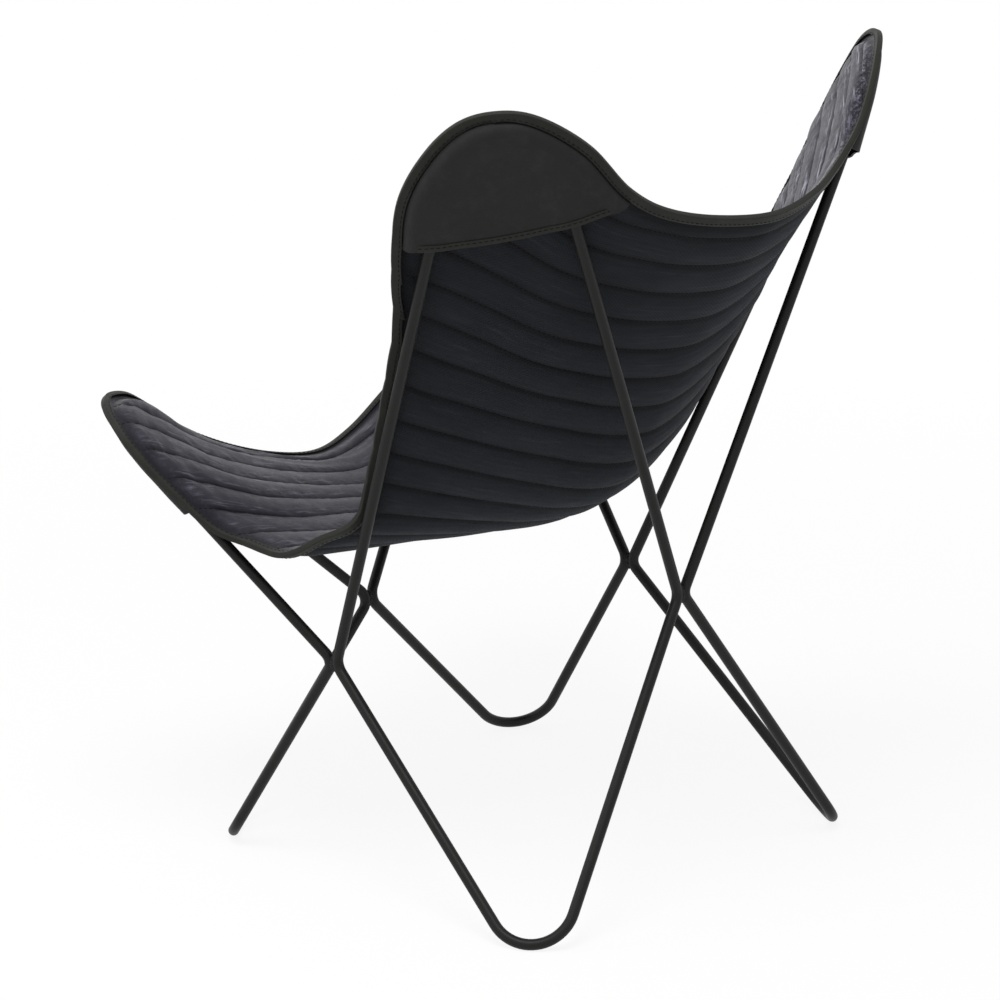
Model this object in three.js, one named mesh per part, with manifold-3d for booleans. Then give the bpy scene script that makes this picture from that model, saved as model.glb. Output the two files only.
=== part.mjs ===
// A butterfly sling chair: four bent steel rod loops welded side by side, and a
// quilted leather sling whose four corner pockets hang over the loops' upper bends.
// Millimetres. X runs across with the sitter's left positive, Y from front to back, Z up.
import * as THREE from "three";
import { mergeVertices } from "three/addons/utils/BufferGeometryUtils.js";
import Module from "manifold-3d";

const wasm = await Module();
wasm.setup();

// Fits
const clearance = 0.3; // gap that touching pieces keep
const pocketGap = 0.9; // between the quilt and a pocket's sewn border
const footFlat = 0.5; // depth to which each foot bend is worn flat

// Rod frame: every place is on the rod's centre line
const rodDiameter = 12;
const backPeakBendRadius = 57;
const frontPeakBendRadius = 58;
const footBendRadius = 46;
const waistBendRadius = 16;
const peakHalfSpan = 295;
const backPeakDepth = 298;
const backPeakHeight = 874;
const frontPeakDepth = 270;
const frontPeakHeight = 481;
const rearFootHalfSpan = 248;
const rearFootDepth = 304;
const frontFootHalfSpan = 238;
const frontFootDepth = 163;
const rearWeldDepth = 286;
const rearWeldHeight = 327;
const frontWeldDepth = 182;
const frontWeldHeight = 217;
const sideWeldHalfSpan = 243;
const sideWeldDepth = 4;
const sideWeldHeight = 245;

// Weld beads
const weldHalfLength = 10;
const weldHalfWidth = 6;
const weldHalfDepth = 5.2;

// Sling
const seatHeight = 359; // lowest point of the quilt's middle surface
const quiltPinch = 1.6; // wadding thickness in the seams and at the edge
const faceCrown = 4.5; // rise of the wadding between two seams on the sitter's side
const backCrown = 1.5; // the same on the outside
const faceThickness = 1.2;
const backingThickness = 0.9;
const pocketThickness = 1.2;
const pocketRun = 7.2; // width in which a pocket sinks below the rod, inside its sewn border
const rodRoom = 0.5; // from there to the rod
const backHemOnEdge = 184; // from the tip along the back edge to the pocket's open end
const backHemOnSide = 212; // the same along the side edge
const frontHemOnEdge = 162;
const frontHemOnSide = 205;
const hemWidth = 8;
const hemBow = 9; // by which a pocket's open edge bows away from the tip
const hemThickness = 0.8;
const bindingWidth = 9;
const bindingThickness = 1.1;
const bindingFlare = 0.9;
const bindingLap = 0.8; // flat border that shows inside the binding
const bandRoom = 6.4; // flat quilt along the side edges, inside that border
const crownFade = 20; // width over which the channels rise beside the binding

// Quilt seams, counted from the first full seam under the back edge
const wholeChannels = 20;
const backEdgePartShare = 0.75; // of a channel, between the back edge and the first seam
const frontEdgePartShare = 0.75;
const backLobeChannels = 1.75; // channels that the back edge cuts on its way up to a peak
const frontLobeChannels = 1;
const lobeChannelStartShare = 0.35; // share of the half width where they begin

// Sling shape. Places are shares: of the peak's half span, of the peak's depth (the back peak's
// when positive, the front peak's when negative), and of the rise from the seat to that peak.
const backEdgeShares = [[0, 1.351, 0.783], [0.266, 1.311, 0.797], [0.465, 1.254, 0.827]];
const frontEdgeShares = [[0, -0.99, 0.14], [0.213, -1.025, 0.22], [0.44, -1.078, 0.42]];
const centreShares = [
  [0, 1.05, 0.541],
  [0, 0.836, 0.319],
  [0, 0.645, 0.144],
  [0, 0.388, 0.042],
  [0, 0.033, 0],
  [0, -0.44, 0.002],
];
// On the side edge beside the rear loop's front rod, the first two shares count from the rod,
// outwards and forwards.
const rearSideEdgeShares = [
  [0.0624, 0.149, 0.568],
  [0.0427, 0.1235, 0.399],
  [0.0278, 0.0995, 0.243],
  [0.0356, 0.0853, 0.13],
  [0.101, 0.17, 0.08],
];
const frontSideEdgeShares = [[1, -0.073, 0.131], [1.007, -0.271, 0.146]];
// Outline of the quilt round a peak: angle from the peak's axis in degrees, towards the edge
// between the two peaks when positive, and reach beyond the margin as a share of the bend's radius.
const backLobeShares = [
  [-131, 1.259],
  [-102, 0.46],
  [-66, 0.046],
  [-30, -0.015],
  [0, -0.015],
  [30, -0.006],
  [69, 0.233],
  [99, 0.829],
];
const frontLobeShares = [
  [-124, 1.116],
  [-102, 0.513],
  [-66, 0.211],
  [-30, 0.121],
  [0, 0.045],
  [34, 0],
  [62, 0.045],
  [92, 0.256],
];
const peakReachShare = 3; // of the bend's radius: how far round a peak the quilt rests on the rods
const sagPower = 1.63; // section of the sling: 2 would be a parabola
const backEdgeReachShare = 0.5; // share of the length over which an end edge's own shape fades out
const frontEdgeReachShare = 0.35;

// Mesh fineness
const rodSides = 12;
const peakSteps = 10;
const footSteps = 9;
const waistSteps = 4;
const hemSteps = 4;
const innerColumnShares = [0, 0.28, 0.52, 0.75];
const lobeEdgeStep = 26; // longest step along the end edges, on a lobe
const solverPasses = 60;
const normalStepShare = 0.004;
const outlineSamples = 160;
const splineSamples = 400;
const mergeTolerance = 1e-4;
const mostTurnDegrees = 6; // between two rows along the side edge
const leastSlantShare = 0.35;
const leastStepShare = 0.35; // least row spacing, in half channels

const rodRadius = rodDiameter / 2;
const pocketBorder = bindingWidth + bindingLap; // sewn border of a pocket under the binding
const pocketSlope = pocketBorder + pocketRun; // from the outline to where a pocket is below the rod
const lobeMargin = pocketSlope + rodRoom; // quilt beyond the rod at each peak
const flatBandShare = 1 - (pocketBorder + bandRoom) / peakHalfSpan;
const columnShares = [...innerColumnShares, flatBandShare, 1];
const halfGap = clearance / 2;
const up = new THREE.Vector3(0, 0, 1);
const radians = THREE.MathUtils.degToRad;

// A solid of manifold-3d from a closed geometry, and back.
function toSolid(geometry) {
  const bare = geometry.clone();
  bare.deleteAttribute("normal");
  bare.deleteAttribute("uv");
  const merged = mergeVertices(bare, mergeTolerance);
  return new wasm.Manifold(
    new wasm.Mesh({
      numProp: 3,
      vertProperties: new Float32Array(merged.attributes.position.array),
      triVerts: new Uint32Array(merged.index.array),
    }),
  );
}

function fromSolid(solid) {
  const mesh = solid.getMesh();
  const geometry = new THREE.BufferGeometry();
  geometry.setAttribute("position", new THREE.BufferAttribute(mesh.vertProperties, 3));
  geometry.setIndex(new THREE.BufferAttribute(mesh.triVerts, 1));
  geometry.computeVertexNormals();
  return geometry;
}

function geometryOf(points, triangles) {
  const geometry = new THREE.BufferGeometry().setFromPoints(points);
  geometry.setIndex(triangles.flat());
  geometry.computeVertexNormals();
  return geometry;
}

// A closed sweep: equal rings joined in turn, the last one to the first.
function ringSweep(rings) {
  const sides = rings[0].length;
  const triangles = [];
  rings.forEach((ring, i) => {
    const here = i * sides;
    const next = ((i + 1) % rings.length) * sides;
    ring.forEach((_, j) => {
      const k = (j + 1) % sides;
      triangles.push([here + j, here + k, next + j], [here + k, next + k, next + j]);
    });
  });
  return geometryOf(rings.flat(), triangles);
}

// Rod loops

// Corner points where the straight runs of a loop would meet, from the places of its bends. A bend
// with a touch direction is moved along it until the centre line just reaches the given level.
function loopCorners(bends) {
  let corners = bends.map((bend) => bend.place.clone());
  for (let pass = 0; pass < solverPasses; pass++) {
    corners = bends.map((bend, i) => {
      const before = corners.at(i - 1).clone().sub(corners[i]).normalize();
      const after = corners[(i + 1) % corners.length].clone().sub(corners[i]).normalize();
      const inward = before.clone().add(after).normalize();
      const halfAngle = before.angleTo(after) / 2;
      const centre = bend.place.clone().addScaledVector(inward, bend.radius);
      if (bend.touch) {
        const inPlane = bend.touch.clone().projectOnPlane(before.clone().cross(after).normalize());
        const reach = centre.dot(bend.touch) + bend.radius * inPlane.length();
        centre.addScaledVector(bend.touch, bend.level - reach);
      }
      return centre.addScaledVector(inward, -bend.radius / Math.sin(halfAngle));
    });
  }
  return corners;
}

// Each bend as its centre, its axes and its turn.
function loopArcs(bends) {
  const corners = loopCorners(bends);
  return bends.map((bend, i) => {
    const corner = corners[i];
    const before = corners.at(i - 1).clone().sub(corner).normalize();
    const after = corners[(i + 1) % corners.length].clone().sub(corner).normalize();
    const inward = before.clone().add(after).normalize();
    const halfAngle = before.angleTo(after) / 2;
    const centre = corner.clone().addScaledVector(inward, bend.radius / Math.sin(halfAngle));
    const start = corner.clone().addScaledVector(before, bend.radius / Math.tan(halfAngle));
    const out = start.sub(centre).normalize();
    const axis = after.clone().cross(before).normalize();
    return { ...bend, corner, centre, inward, out, axis, turn: Math.PI - 2 * halfAngle };
  });
}

function loopGeometry(arcs, radius) {
  const normal = new THREE.Vector3();
  arcs.forEach((arc) => normal.add(arc.axis));
  normal.normalize();
  const rings = arcs.flatMap((arc) =>
    Array.from({ length: arc.steps + 1 }, (_, step) => {
      const out = arc.out.clone().applyAxisAngle(arc.axis, (arc.turn * step) / arc.steps);
      const along = arc.axis.clone().cross(out);
      const place = arc.centre.clone().addScaledVector(out, arc.radius);
      const side = normal.clone().projectOnPlane(along).normalize();
      const other = along.clone().cross(side);
      return Array.from({ length: rodSides }, (_, j) => {
        const angle = (2 * Math.PI * j) / rodSides;
        return place
          .clone()
          .addScaledVector(side, radius * Math.cos(angle))
          .addScaledVector(other, radius * Math.sin(angle));
      });
    }),
  );
  return ringSweep(rings);
}

// Bends of the loop on the sitter's left: peak, side weld, foot, centre weld.
function loopBends(rear) {
  const toSide = new THREE.Vector3(0, rear ? -1 : 1, 0);
  const peak = rear
    ? new THREE.Vector3(peakHalfSpan, backPeakDepth, backPeakHeight)
    : new THREE.Vector3(peakHalfSpan, -frontPeakDepth, frontPeakHeight);
  const foot = rear
    ? new THREE.Vector3(rearFootHalfSpan, rearFootDepth, 0)
    : new THREE.Vector3(frontFootHalfSpan, -frontFootDepth, 0);
  const centre = rear
    ? new THREE.Vector3(0, rearWeldDepth, rearWeldHeight)
    : new THREE.Vector3(0, -frontWeldDepth, frontWeldHeight);
  const side = new THREE.Vector3(sideWeldHalfSpan, sideWeldDepth, sideWeldHeight);
  return [
    { place: peak, radius: rear ? backPeakBendRadius : frontPeakBendRadius, steps: peakSteps },
    {
      place: side,
      radius: waistBendRadius,
      steps: waistSteps,
      touch: toSide,
      level: toSide.y * sideWeldDepth - rodRadius - halfGap,
    },
    {
      place: foot,
      radius: footBendRadius,
      steps: footSteps,
      touch: up.clone().negate(),
      level: footFlat - rodRadius,
    },
    {
      place: centre,
      radius: waistBendRadius,
      steps: waistSteps,
      touch: new THREE.Vector3(-1, 0, 0),
      level: -rodRadius - halfGap,
    },
  ];
}

function mirrored(geometry) {
  const copy = geometry.clone().applyMatrix4(new THREE.Matrix4().makeScale(-1, 1, 1));
  const index = copy.index.array;
  for (let i = 0; i < index.length; i += 3) {
    [index[i + 1], index[i + 2]] = [index[i + 2], index[i + 1]];
  }
  copy.computeVertexNormals();
  return copy;
}

// A bead between two kissing rods: an ellipsoid less both rods.
function weldGeometry(place, alongRod, apart, rods) {
  const bead = new THREE.SphereGeometry(1, 18, 14);
  const across = alongRod.clone().cross(apart).normalize();
  const basis = new THREE.Matrix4().makeBasis(apart, across, apart.clone().cross(across));
  bead.scale(weldHalfWidth, weldHalfDepth, weldHalfLength);
  bead.applyMatrix4(basis);
  bead.translate(place.x, place.y, place.z);
  return fromSolid(rods.reduce((solid, rod) => solid.subtract(toSolid(rod)), toSolid(bead)));
}

// Sling surface

const quiltLift = rodRadius + quiltPinch / 2 + backCrown + 2 * clearance + backingThickness;

// Frame of a peak: its bend's centre, its axis, the in-plane direction towards the edge between
// the two peaks, and the normal on the sitter's side.
function peakFrame(arc, rear) {
  const axis = arc.inward.clone().negate();
  const normal = arc.axis.clone();
  if (normal.dot(new THREE.Vector3(-1, rear ? -1 : 1, 0)) < 0) normal.negate();
  const toEdge = axis.clone().cross(normal);
  if (toEdge.x > 0) toEdge.negate();
  return { centre: arc.centre, radius: arc.radius, axis, toEdge, normal };
}

function lobePoint(frame, [degrees, share]) {
  const reach = frame.radius * (1 + share) + rodRadius + lobeMargin;
  return frame.centre
    .clone()
    .addScaledVector(frame.axis, reach * Math.cos(radians(degrees)))
    .addScaledVector(frame.toEdge, reach * Math.sin(radians(degrees)))
    .addScaledVector(frame.normal, quiltLift);
}

function sharePoint([x, y, z]) {
  const depth = y > 0 ? backPeakDepth : frontPeakDepth;
  const height = y > 0 ? backPeakHeight : frontPeakHeight;
  return new THREE.Vector3(x * peakHalfSpan, y * depth, seatHeight + z * (height - seatHeight));
}

function besideRodPoint([outwards, forwards, height]) {
  const { z } = sharePoint([0, 1, height]);
  const rise = (z - sideWeldHeight) / (backPeakHeight - sideWeldHeight);
  const x = THREE.MathUtils.lerp(sideWeldHalfSpan, peakHalfSpan, rise) + outwards * peakHalfSpan;
  const y = THREE.MathUtils.lerp(sideWeldDepth, backPeakDepth, rise) - forwards * backPeakDepth;
  return new THREE.Vector3(x, y, z);
}

function spline(points) {
  const curve = new THREE.CatmullRomCurve3(points, false, "catmullrom");
  curve.arcLengthDivisions = splineSamples;
  return curve;
}

function slingCurves(backFrame, frontFrame) {
  const backLobe = backLobeShares.map((entry) => lobePoint(backFrame, entry));
  const frontLobe = frontLobeShares.map((entry) => lobePoint(frontFrame, entry));
  const backTip = backLobeShares.findIndex(([degrees]) => degrees === 0);
  const frontTip = frontLobeShares.findIndex(([degrees]) => degrees === 0);
  const backEdge = backEdgeShares.map(sharePoint);
  const frontEdge = frontEdgeShares.map(sharePoint);
  const curves = {
    backEdge: spline([...backEdge, ...backLobe.slice(backTip).reverse()]),
    frontEdge: spline([...frontEdge, ...frontLobe.slice(frontTip).reverse()]),
    centre: spline([backEdge[0], ...centreShares.map(sharePoint), frontEdge[0]]),
    sideEdge: spline([
      ...backLobe.slice(0, backTip + 1).reverse(),
      ...rearSideEdgeShares.map(besideRodPoint),
      ...frontSideEdgeShares.map(sharePoint),
      ...frontLobe.slice(0, frontTip + 1),
    ]),
  };
  const edges = [curves.backEdge, curves.sideEdge, curves.frontEdge];
  const outline = edges.flatMap((edge) => edge.getSpacedPoints(outlineSamples));
  return { ...curves, outline, frames: [backFrame, frontFrame] };
}

// Point of the middle surface on the sitter's left: across 0 is the centre line and 1 the side
// edge, along 0 is the back edge and 1 the front edge.
function surfacePoint(curves, across, along) {
  const bend = across ** sagPower;
  const between = (from, to) =>
    new THREE.Vector3(
      THREE.MathUtils.lerp(from.x, to.x, across),
      THREE.MathUtils.lerp(from.y, to.y, bend),
      THREE.MathUtils.lerp(from.z, to.z, bend),
    );
  const { backEdge, frontEdge, centre, sideEdge } = curves;
  const point = between(centre.getPointAt(along), sideEdge.getPointAt(along));
  const backPlain = between(centre.getPointAt(0), sideEdge.getPointAt(0));
  const frontPlain = between(centre.getPointAt(1), sideEdge.getPointAt(1));
  const backOwn = backEdge.getPointAt(across).sub(backPlain);
  const frontOwn = frontEdge.getPointAt(across).sub(frontPlain);
  const backFade = 1 - THREE.MathUtils.smoothstep(along, 0, backEdgeReachShare);
  const frontFade = 1 - THREE.MathUtils.smoothstep(1 - along, 0, frontEdgeReachShare);
  return point.addScaledVector(backOwn, backFade).addScaledVector(frontOwn, frontFade);
}

// Lifts a point of the quilt beside a peak that would sink into the rods.
function restOnRods(point, frame, spare) {
  const offset = point.clone().sub(frame.centre);
  const reach = peakReachShare * frame.radius;
  if (offset.dot(frame.axis) < -reach || Math.abs(offset.dot(frame.toEdge)) > reach) return;
  const sunk = quiltLift - spare - offset.dot(frame.normal);
  if (sunk > 0) point.addScaledVector(frame.normal, sunk);
}

// Seam number where a column of the quilt meets the back edge and the front edge.
function backEdgeSeam(across) {
  const share = Math.max(0, across - lobeChannelStartShare) / (1 - lobeChannelStartShare);
  return -backEdgePartShare - backLobeChannels * share ** 1.5;
}

function frontEdgeSeam(across) {
  return wholeChannels + frontEdgePartShare + frontLobeChannels * across ** 2;
}

// Sine of the angle at which a column of the quilt meets an end edge, kept over a floor.
function slant(curves, across, end) {
  const edge = end === 0 ? curves.backEdge : curves.frontEdge;
  const inside = surfacePoint(curves, across, end === 0 ? normalStepShare : 1 - normalStepShare);
  const column = inside.sub(surfacePoint(curves, across, end)).normalize();
  return Math.max(column.cross(edge.getTangentAt(across)).length(), leastSlantShare);
}

function channelLength(curves) {
  return curves.centre.getLength() / (wholeChannels + backEdgePartShare + frontEdgePartShare);
}

// One vertex of the quilt, with the crown that its channels have there.
function quiltVertex(curves, side, across, seam) {
  const first = backEdgeSeam(across);
  const last = frontEdgeSeam(across);
  const along = (seam - first) / (last - first);
  const within = (share) => THREE.MathUtils.clamp(share, 0, 1);
  const at = (a, l) => surfacePoint(curves, within(a), within(l));
  const place = at(across, along);
  const flatBand = across >= flatBandShare;
  const from = flatBand ? flatBandShare : across - normalStepShare;
  const to = flatBand ? 1 : across + normalStepShare;
  const acrossStep = at(to, along).sub(at(from, along));
  if (across < normalStepShare) acrossStep.set(1, 0, 0);
  const alongStep = at(across, along + normalStepShare).sub(at(across, along - normalStepShare));
  const normal = alongStep.cross(acrossStep).normalize();
  const fromEdge = Math.min(...curves.outline.map((point) => point.distanceTo(place)));
  const rise = THREE.MathUtils.smoothstep(fromEdge, pocketBorder, pocketBorder + crownFade);
  const crown = flatBand ? 0 : rise * Math.abs(Math.sin(Math.PI * seam));
  curves.frames.forEach((frame) => restOnRods(place, frame, backCrown * (1 - crown)));
  const { innerFirst, innerLast } = columnEnds(curves, across);
  const innerSeam = THREE.MathUtils.clamp(seam, innerFirst, innerLast);
  const innerAcross = across < 1 ? across : flatBandShare;
  const inward = at(innerAcross, (innerSeam - first) / (last - first)).sub(place);
  for (const vector of [place, normal, inward]) vector.x *= side;
  return { place, normal, inward, crown, seam };
}

// Seam numbers at the two ends of a column: the back edge, the inside of its flat border, and the
// same at the front edge.
function columnEnds(curves, across) {
  const flatPart = pocketBorder / channelLength(curves);
  const first = backEdgeSeam(across);
  const last = frontEdgeSeam(across);
  const backFlat = flatPart / slant(curves, across, 0);
  const frontFlat = flatPart / slant(curves, across, 1);
  return { first, innerFirst: first + backFlat, innerLast: last - frontFlat, last };
}

// A vertex, followed by one half way to the next where the quilt's edge turns sharply between them.
function withBetween(curves, side, index) {
  return (vertex, i, vertices) => {
    const next = vertices[i + 1];
    if (!next || vertex.normal.angleTo(next.normal) < radians(mostTurnDegrees)) return [vertex];
    return [vertex, quiltVertex(curves, side, columnShares[index], (vertex.seam + next.seam) / 2)];
  };
}

// Columns of the quilt from the sitter's right to the left, each from back to front.
function quiltColumns(curves) {
  const column = (side, index) => {
    const { first, innerFirst, innerLast, last } = columnEnds(curves, columnShares[index]);
    const seams = [first, innerFirst];
    const lastHalf = 2 * innerLast - leastStepShare;
    for (let half = Math.ceil(2 * innerFirst + leastStepShare); half < lastHalf; half++) {
      seams.push(half / 2);
    }
    seams.push(innerLast, last);
    const vertices = seams.map((seam) => quiltVertex(curves, side, columnShares[index], seam));
    const smooth = columnShares[index] < flatBandShare;
    return smooth ? vertices : vertices.flatMap(withBetween(curves, side, index));
  };
  const right = columnShares.map((_, index) => column(-1, index)).reverse();
  const left = columnShares.map((_, index) => column(1, index)).slice(1);
  return [...right, ...left];
}

// Extra border vertices between two columns: pairs on the outline and inside the flat border.
function borderPairs(curves, side, from, to, front) {
  const length = (front ? curves.frontEdge : curves.backEdge).getLength() * (to - from);
  const count = from < lobeChannelStartShare ? 1 : Math.ceil(length / lobeEdgeStep);
  return Array.from({ length: count - 1 }, (_, i) => {
    const across = from + ((to - from) * (i + 1)) / count;
    const { first, innerFirst, innerLast, last } = columnEnds(curves, across);
    const pair = front ? [last, innerLast] : [first, innerFirst];
    return pair.map((seam) => quiltVertex(curves, side, across, seam));
  });
}

// The quilt's vertices, its triangles on the sitter's side and its outline.
function quiltGrid(curves) {
  const vertices = [];
  const triangles = [];
  const add = (vertex) => vertices.push(vertex) - 1;
  const ids = quiltColumns(curves).map((column) => column.map(add));
  const middle = (ids.length - 1) / 2;
  const rows = { back: [ids[0][0]], front: [ids[0].at(-1)] };
  for (let i = 0; i < ids.length - 1; i++) {
    const side = i < middle ? -1 : 1;
    const inner = side > 0 ? i : i + 1;
    const outer = side > 0 ? i + 1 : i;
    const shares = [inner, outer].map((n) => columnShares[Math.abs(n - middle)]);
    const back = borderPairs(curves, side, ...shares, false).map((pair) => pair.map(add));
    const front = borderPairs(curves, side, ...shares, true).map((pair) => pair.map(add));
    const innerChain = ids[inner].slice(1, -1);
    const outerChain = ids[outer].slice(1, -1);
    innerChain.unshift(...back.map(([, inside]) => inside).reverse());
    innerChain.push(...front.map(([, inside]) => inside));
    triangles.push(...zip(vertices, innerChain, outerChain, side));
    const backPairs = [ids[inner].slice(0, 2), ...back, ids[outer].slice(0, 2)];
    const frontPairs = [ids[inner].slice(-2).reverse(), ...front, ids[outer].slice(-2).reverse()];
    triangles.push(...borderStrip(backPairs, side), ...borderStrip(frontPairs, -side));
    for (const [name, pairs] of [["back", backPairs], ["front", frontPairs]]) {
      const run = pairs.map(([edge]) => edge);
      rows[name].push(...(side > 0 ? run : run.reverse()).slice(1));
    }
  }
  const outline = [
    ...rows.back,
    ...ids.at(-1).slice(1),
    ...rows.front.toReversed().slice(1),
    ...ids[0].slice(1, -1).toReversed(),
  ];
  return { vertices, triangles, outline };
}

function borderStrip(pairs, side) {
  return pairs.slice(1).flatMap(([outerEdge, outerInside], i) => {
    const [edge, inside] = pairs[i];
    const strip = [
      [edge, inside, outerEdge],
      [inside, outerInside, outerEdge],
    ];
    return side > 0 ? strip : strip.map(([a, b, c]) => [a, c, b]);
  });
}

// Triangles between two chains of vertices that run the same way, paired by seam number.
function zip(vertices, inner, outer, side) {
  const triangles = [];
  let i = 0;
  let j = 0;
  const add = (a, b, c) => triangles.push(side > 0 ? [a, b, c] : [a, c, b]);
  while (i < inner.length - 1 || j < outer.length - 1) {
    const innerNext = i < inner.length - 1 ? vertices[inner[i + 1]].seam : Infinity;
    const outerNext = j < outer.length - 1 ? vertices[outer[j + 1]].seam : Infinity;
    if (innerNext < outerNext) {
      add(inner[i], inner[i + 1], outer[j]);
      i++;
    } else {
      add(inner[i], outer[j + 1], outer[j]);
      j++;
    }
  }
  return triangles;
}

// A closed sheet between two offsets of the quilt's middle surface.
function quiltSheet(grid, topOffset, bottomOffset) {
  const { vertices, triangles, outline } = grid;
  const shifted = (offset) =>
    vertices.map(({ place, normal, crown }) => place.clone().addScaledVector(normal, offset(crown)));
  const count = vertices.length;
  const walls = outline.flatMap((a, i) => {
    const b = outline[(i + 1) % outline.length];
    return [
      [a, b, a + count],
      [b, b + count, a + count],
    ];
  });
  const bottom = triangles.map(([a, b, c]) => [a + count, c + count, b + count]);
  const points = [...shifted(topOffset), ...shifted(bottomOffset)];
  return geometryOf(points, [...triangles, ...bottom, ...walls]);
}

const waddingTop = (crown) => quiltPinch / 2 + faceCrown * crown;
const waddingBottom = (crown) => -quiltPinch / 2 - backCrown * crown;
const faceBottom = (crown) => waddingTop(crown) + clearance;
const faceTop = (crown) => faceBottom(crown) + faceThickness;
const backingTop = (crown) => waddingBottom(crown) - clearance;
const backingBottom = (crown) => backingTop(crown) - backingThickness;

// The quilt's outline with its outward direction at each vertex, and a direction along the quilt's
// own rows or columns that goes inwards by one for each one of its length across the edge.
function quiltBorder(grid) {
  const places = grid.outline.map((id) => grid.vertices[id]);
  return places.map(({ place, normal, seam, inward }, i) => {
    const along = places[(i + 1) % places.length].place.clone().sub(places.at(i - 1).place);
    const outward = normal.clone().cross(along).normalize();
    const row = inward.clone().projectOnPlane(normal).normalize();
    row.divideScalar(Math.max(-row.dot(outward), leastSlantShare));
    return { place, normal, seam, outward, inward: row };
  });
}

// The folded tape round the quilt's edge, which takes in the pockets' edges too.
function bindingGeometry(border) {
  const above = faceTop(0) + clearance;
  const below = backingBottom(0) - pocketGap - pocketThickness - clearance;
  const outer = clearance + bindingThickness;
  const section = [
    [clearance, above],
    [-bindingWidth, above + bindingFlare],
    [-bindingWidth, above + bindingFlare + bindingThickness],
    [outer, above + bindingThickness],
    [outer, below - bindingThickness],
    [-bindingWidth, below - bindingFlare - bindingThickness],
    [-bindingWidth, below - bindingFlare],
    [clearance, below],
  ];
  const ring = ({ place, normal, outward, inward }) =>
    section.map(([out, high]) => {
      const point = place.clone().addScaledVector(normal, high);
      return out < 0 ? point.addScaledVector(inward, -out) : point.addScaledVector(outward, out);
    });
  return ringSweep(border.map(ring));
}

// Pockets

function blend(from, to, share) {
  const mix = (key) => from[key].clone().lerp(to[key], share);
  return { place: mix("place"), normal: mix("normal"), outward: mix("outward"), inward: mix("inward") };
}

// The part of a chain of border vertices up to a length from its start, with a vertex at the
// hem's inner line and one at its end.
function walk(chain, length) {
  const taken = [];
  let run = 0;
  for (let i = 1; run < length; i++) {
    const step = chain[i].place.distanceTo(chain[i - 1].place);
    for (const stop of [length - hemWidth, length]) {
      const within = stop > run && stop <= run + step;
      if (within) taken.push(blend(chain[i - 1], chain[i], (stop - run) / step));
    }
    run += step;
    if (run < length - hemWidth) taken.push(chain[i]);
  }
  return taken;
}

// The three lines of points that shape a pocket on the sitter's left, each from the hem's end on
// the side edge round the tip to its other end: the outline, the inside of the sewn border, and
// where the leather has sunk below the rod. A point has the direction in which the leather's
// thickness is laid.
function pocketLines(border, frame, rear) {
  const left = border.filter(({ place }) => place.x > 0);
  const tip = left.findIndex(({ seam }) => seam === (rear ? backEdgeSeam(1) : frontEdgeSeam(1)));
  const before = left.slice(0, tip + 1).reverse();
  const after = left.slice(tip);
  const [side, edge] = rear ? [after, before] : [before, after];
  const sideChain = walk(side, rear ? backHemOnSide : frontHemOnSide);
  const edgeChain = walk(edge, rear ? backHemOnEdge : frontHemOnEdge);
  const chain = [...sideChain.reverse(), left[tip], ...edgeChain];
  const top = backingBottom(0) - pocketGap;
  const sunk = frame.centre.clone().addScaledVector(frame.normal, -rodRadius - clearance);
  const hem = chain.at(-1).place.clone().sub(chain[0].place).normalize();
  const inset = ({ place, normal, outward }, i, width) => {
    const fromSide = i < sideChain.length;
    const far = place.distanceTo(chain.at(fromSide ? 0 : -1).place) - hemWidth;
    const inward = hem.clone().multiplyScalar(fromSide ? 1 : -1);
    inward.lerp(outward.clone().negate(), THREE.MathUtils.clamp(far / pocketSlope, 0, 1));
    inward.projectOnPlane(normal).normalize();
    const share = -inward.dot(outward.clone().normalize());
    return place.clone().addScaledVector(inward, width / share).addScaledVector(normal, top);
  };
  const line = (width) =>
    chain.map((vertex, i) => ({ place: inset(vertex, i, width), normal: vertex.normal }));
  const floorLine = chain.map((vertex, i) => {
    const place = inset(vertex, i, pocketSlope);
    place.addScaledVector(frame.normal, sunk.clone().sub(place).dot(frame.normal));
    return { place, normal: frame.normal };
  });
  return { outline: line(0), seam: line(pocketBorder), floorLine };
}

// A closed sheet over points that each have their own direction of thickness.
function sheet(points, triangles, rim, from, to) {
  const shifted = (depth) =>
    points.map(({ place, normal }) => place.clone().addScaledVector(normal, -depth));
  const count = points.length;
  const bottom = triangles.map(([a, b, c]) => [a + count, c + count, b + count]);
  const walls = rim.flatMap((a, i) => {
    const b = rim[(i + 1) % rim.length];
    return [
      [a, a + count, b],
      [b, a + count, b + count],
    ];
  });
  return geometryOf([...shifted(from), ...shifted(to)], [...triangles, ...bottom, ...walls]);
}

// Triangles between two equal rows of points.
function ladder(from, to) {
  return from.slice(1).flatMap((next, i) => [
    [from[i], next, to[i]],
    [next, to[i + 1], to[i]],
  ]);
}

// A bowed row of points across a pocket's floor, between two points of the floor line.
function bowedRow(from, to, frame) {
  const away = frame.axis.clone().negate();
  return Array.from({ length: hemSteps + 1 }, (_, i) => {
    const share = i / hemSteps;
    const place = from.place.clone().lerp(to.place, share);
    place.addScaledVector(away, 4 * hemBow * share * (1 - share));
    return { place, normal: frame.normal };
  });
}

// Both bowed rows of a pocket: its open edge and the inner line of its hem.
function hemRows({ floorLine }, frame) {
  const openEdge = bowedRow(floorLine.at(-1), floorLine[0], frame);
  const innerEdge = bowedRow(floorLine.at(-2), floorLine[1], frame);
  return [openEdge, innerEdge];
}

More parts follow.
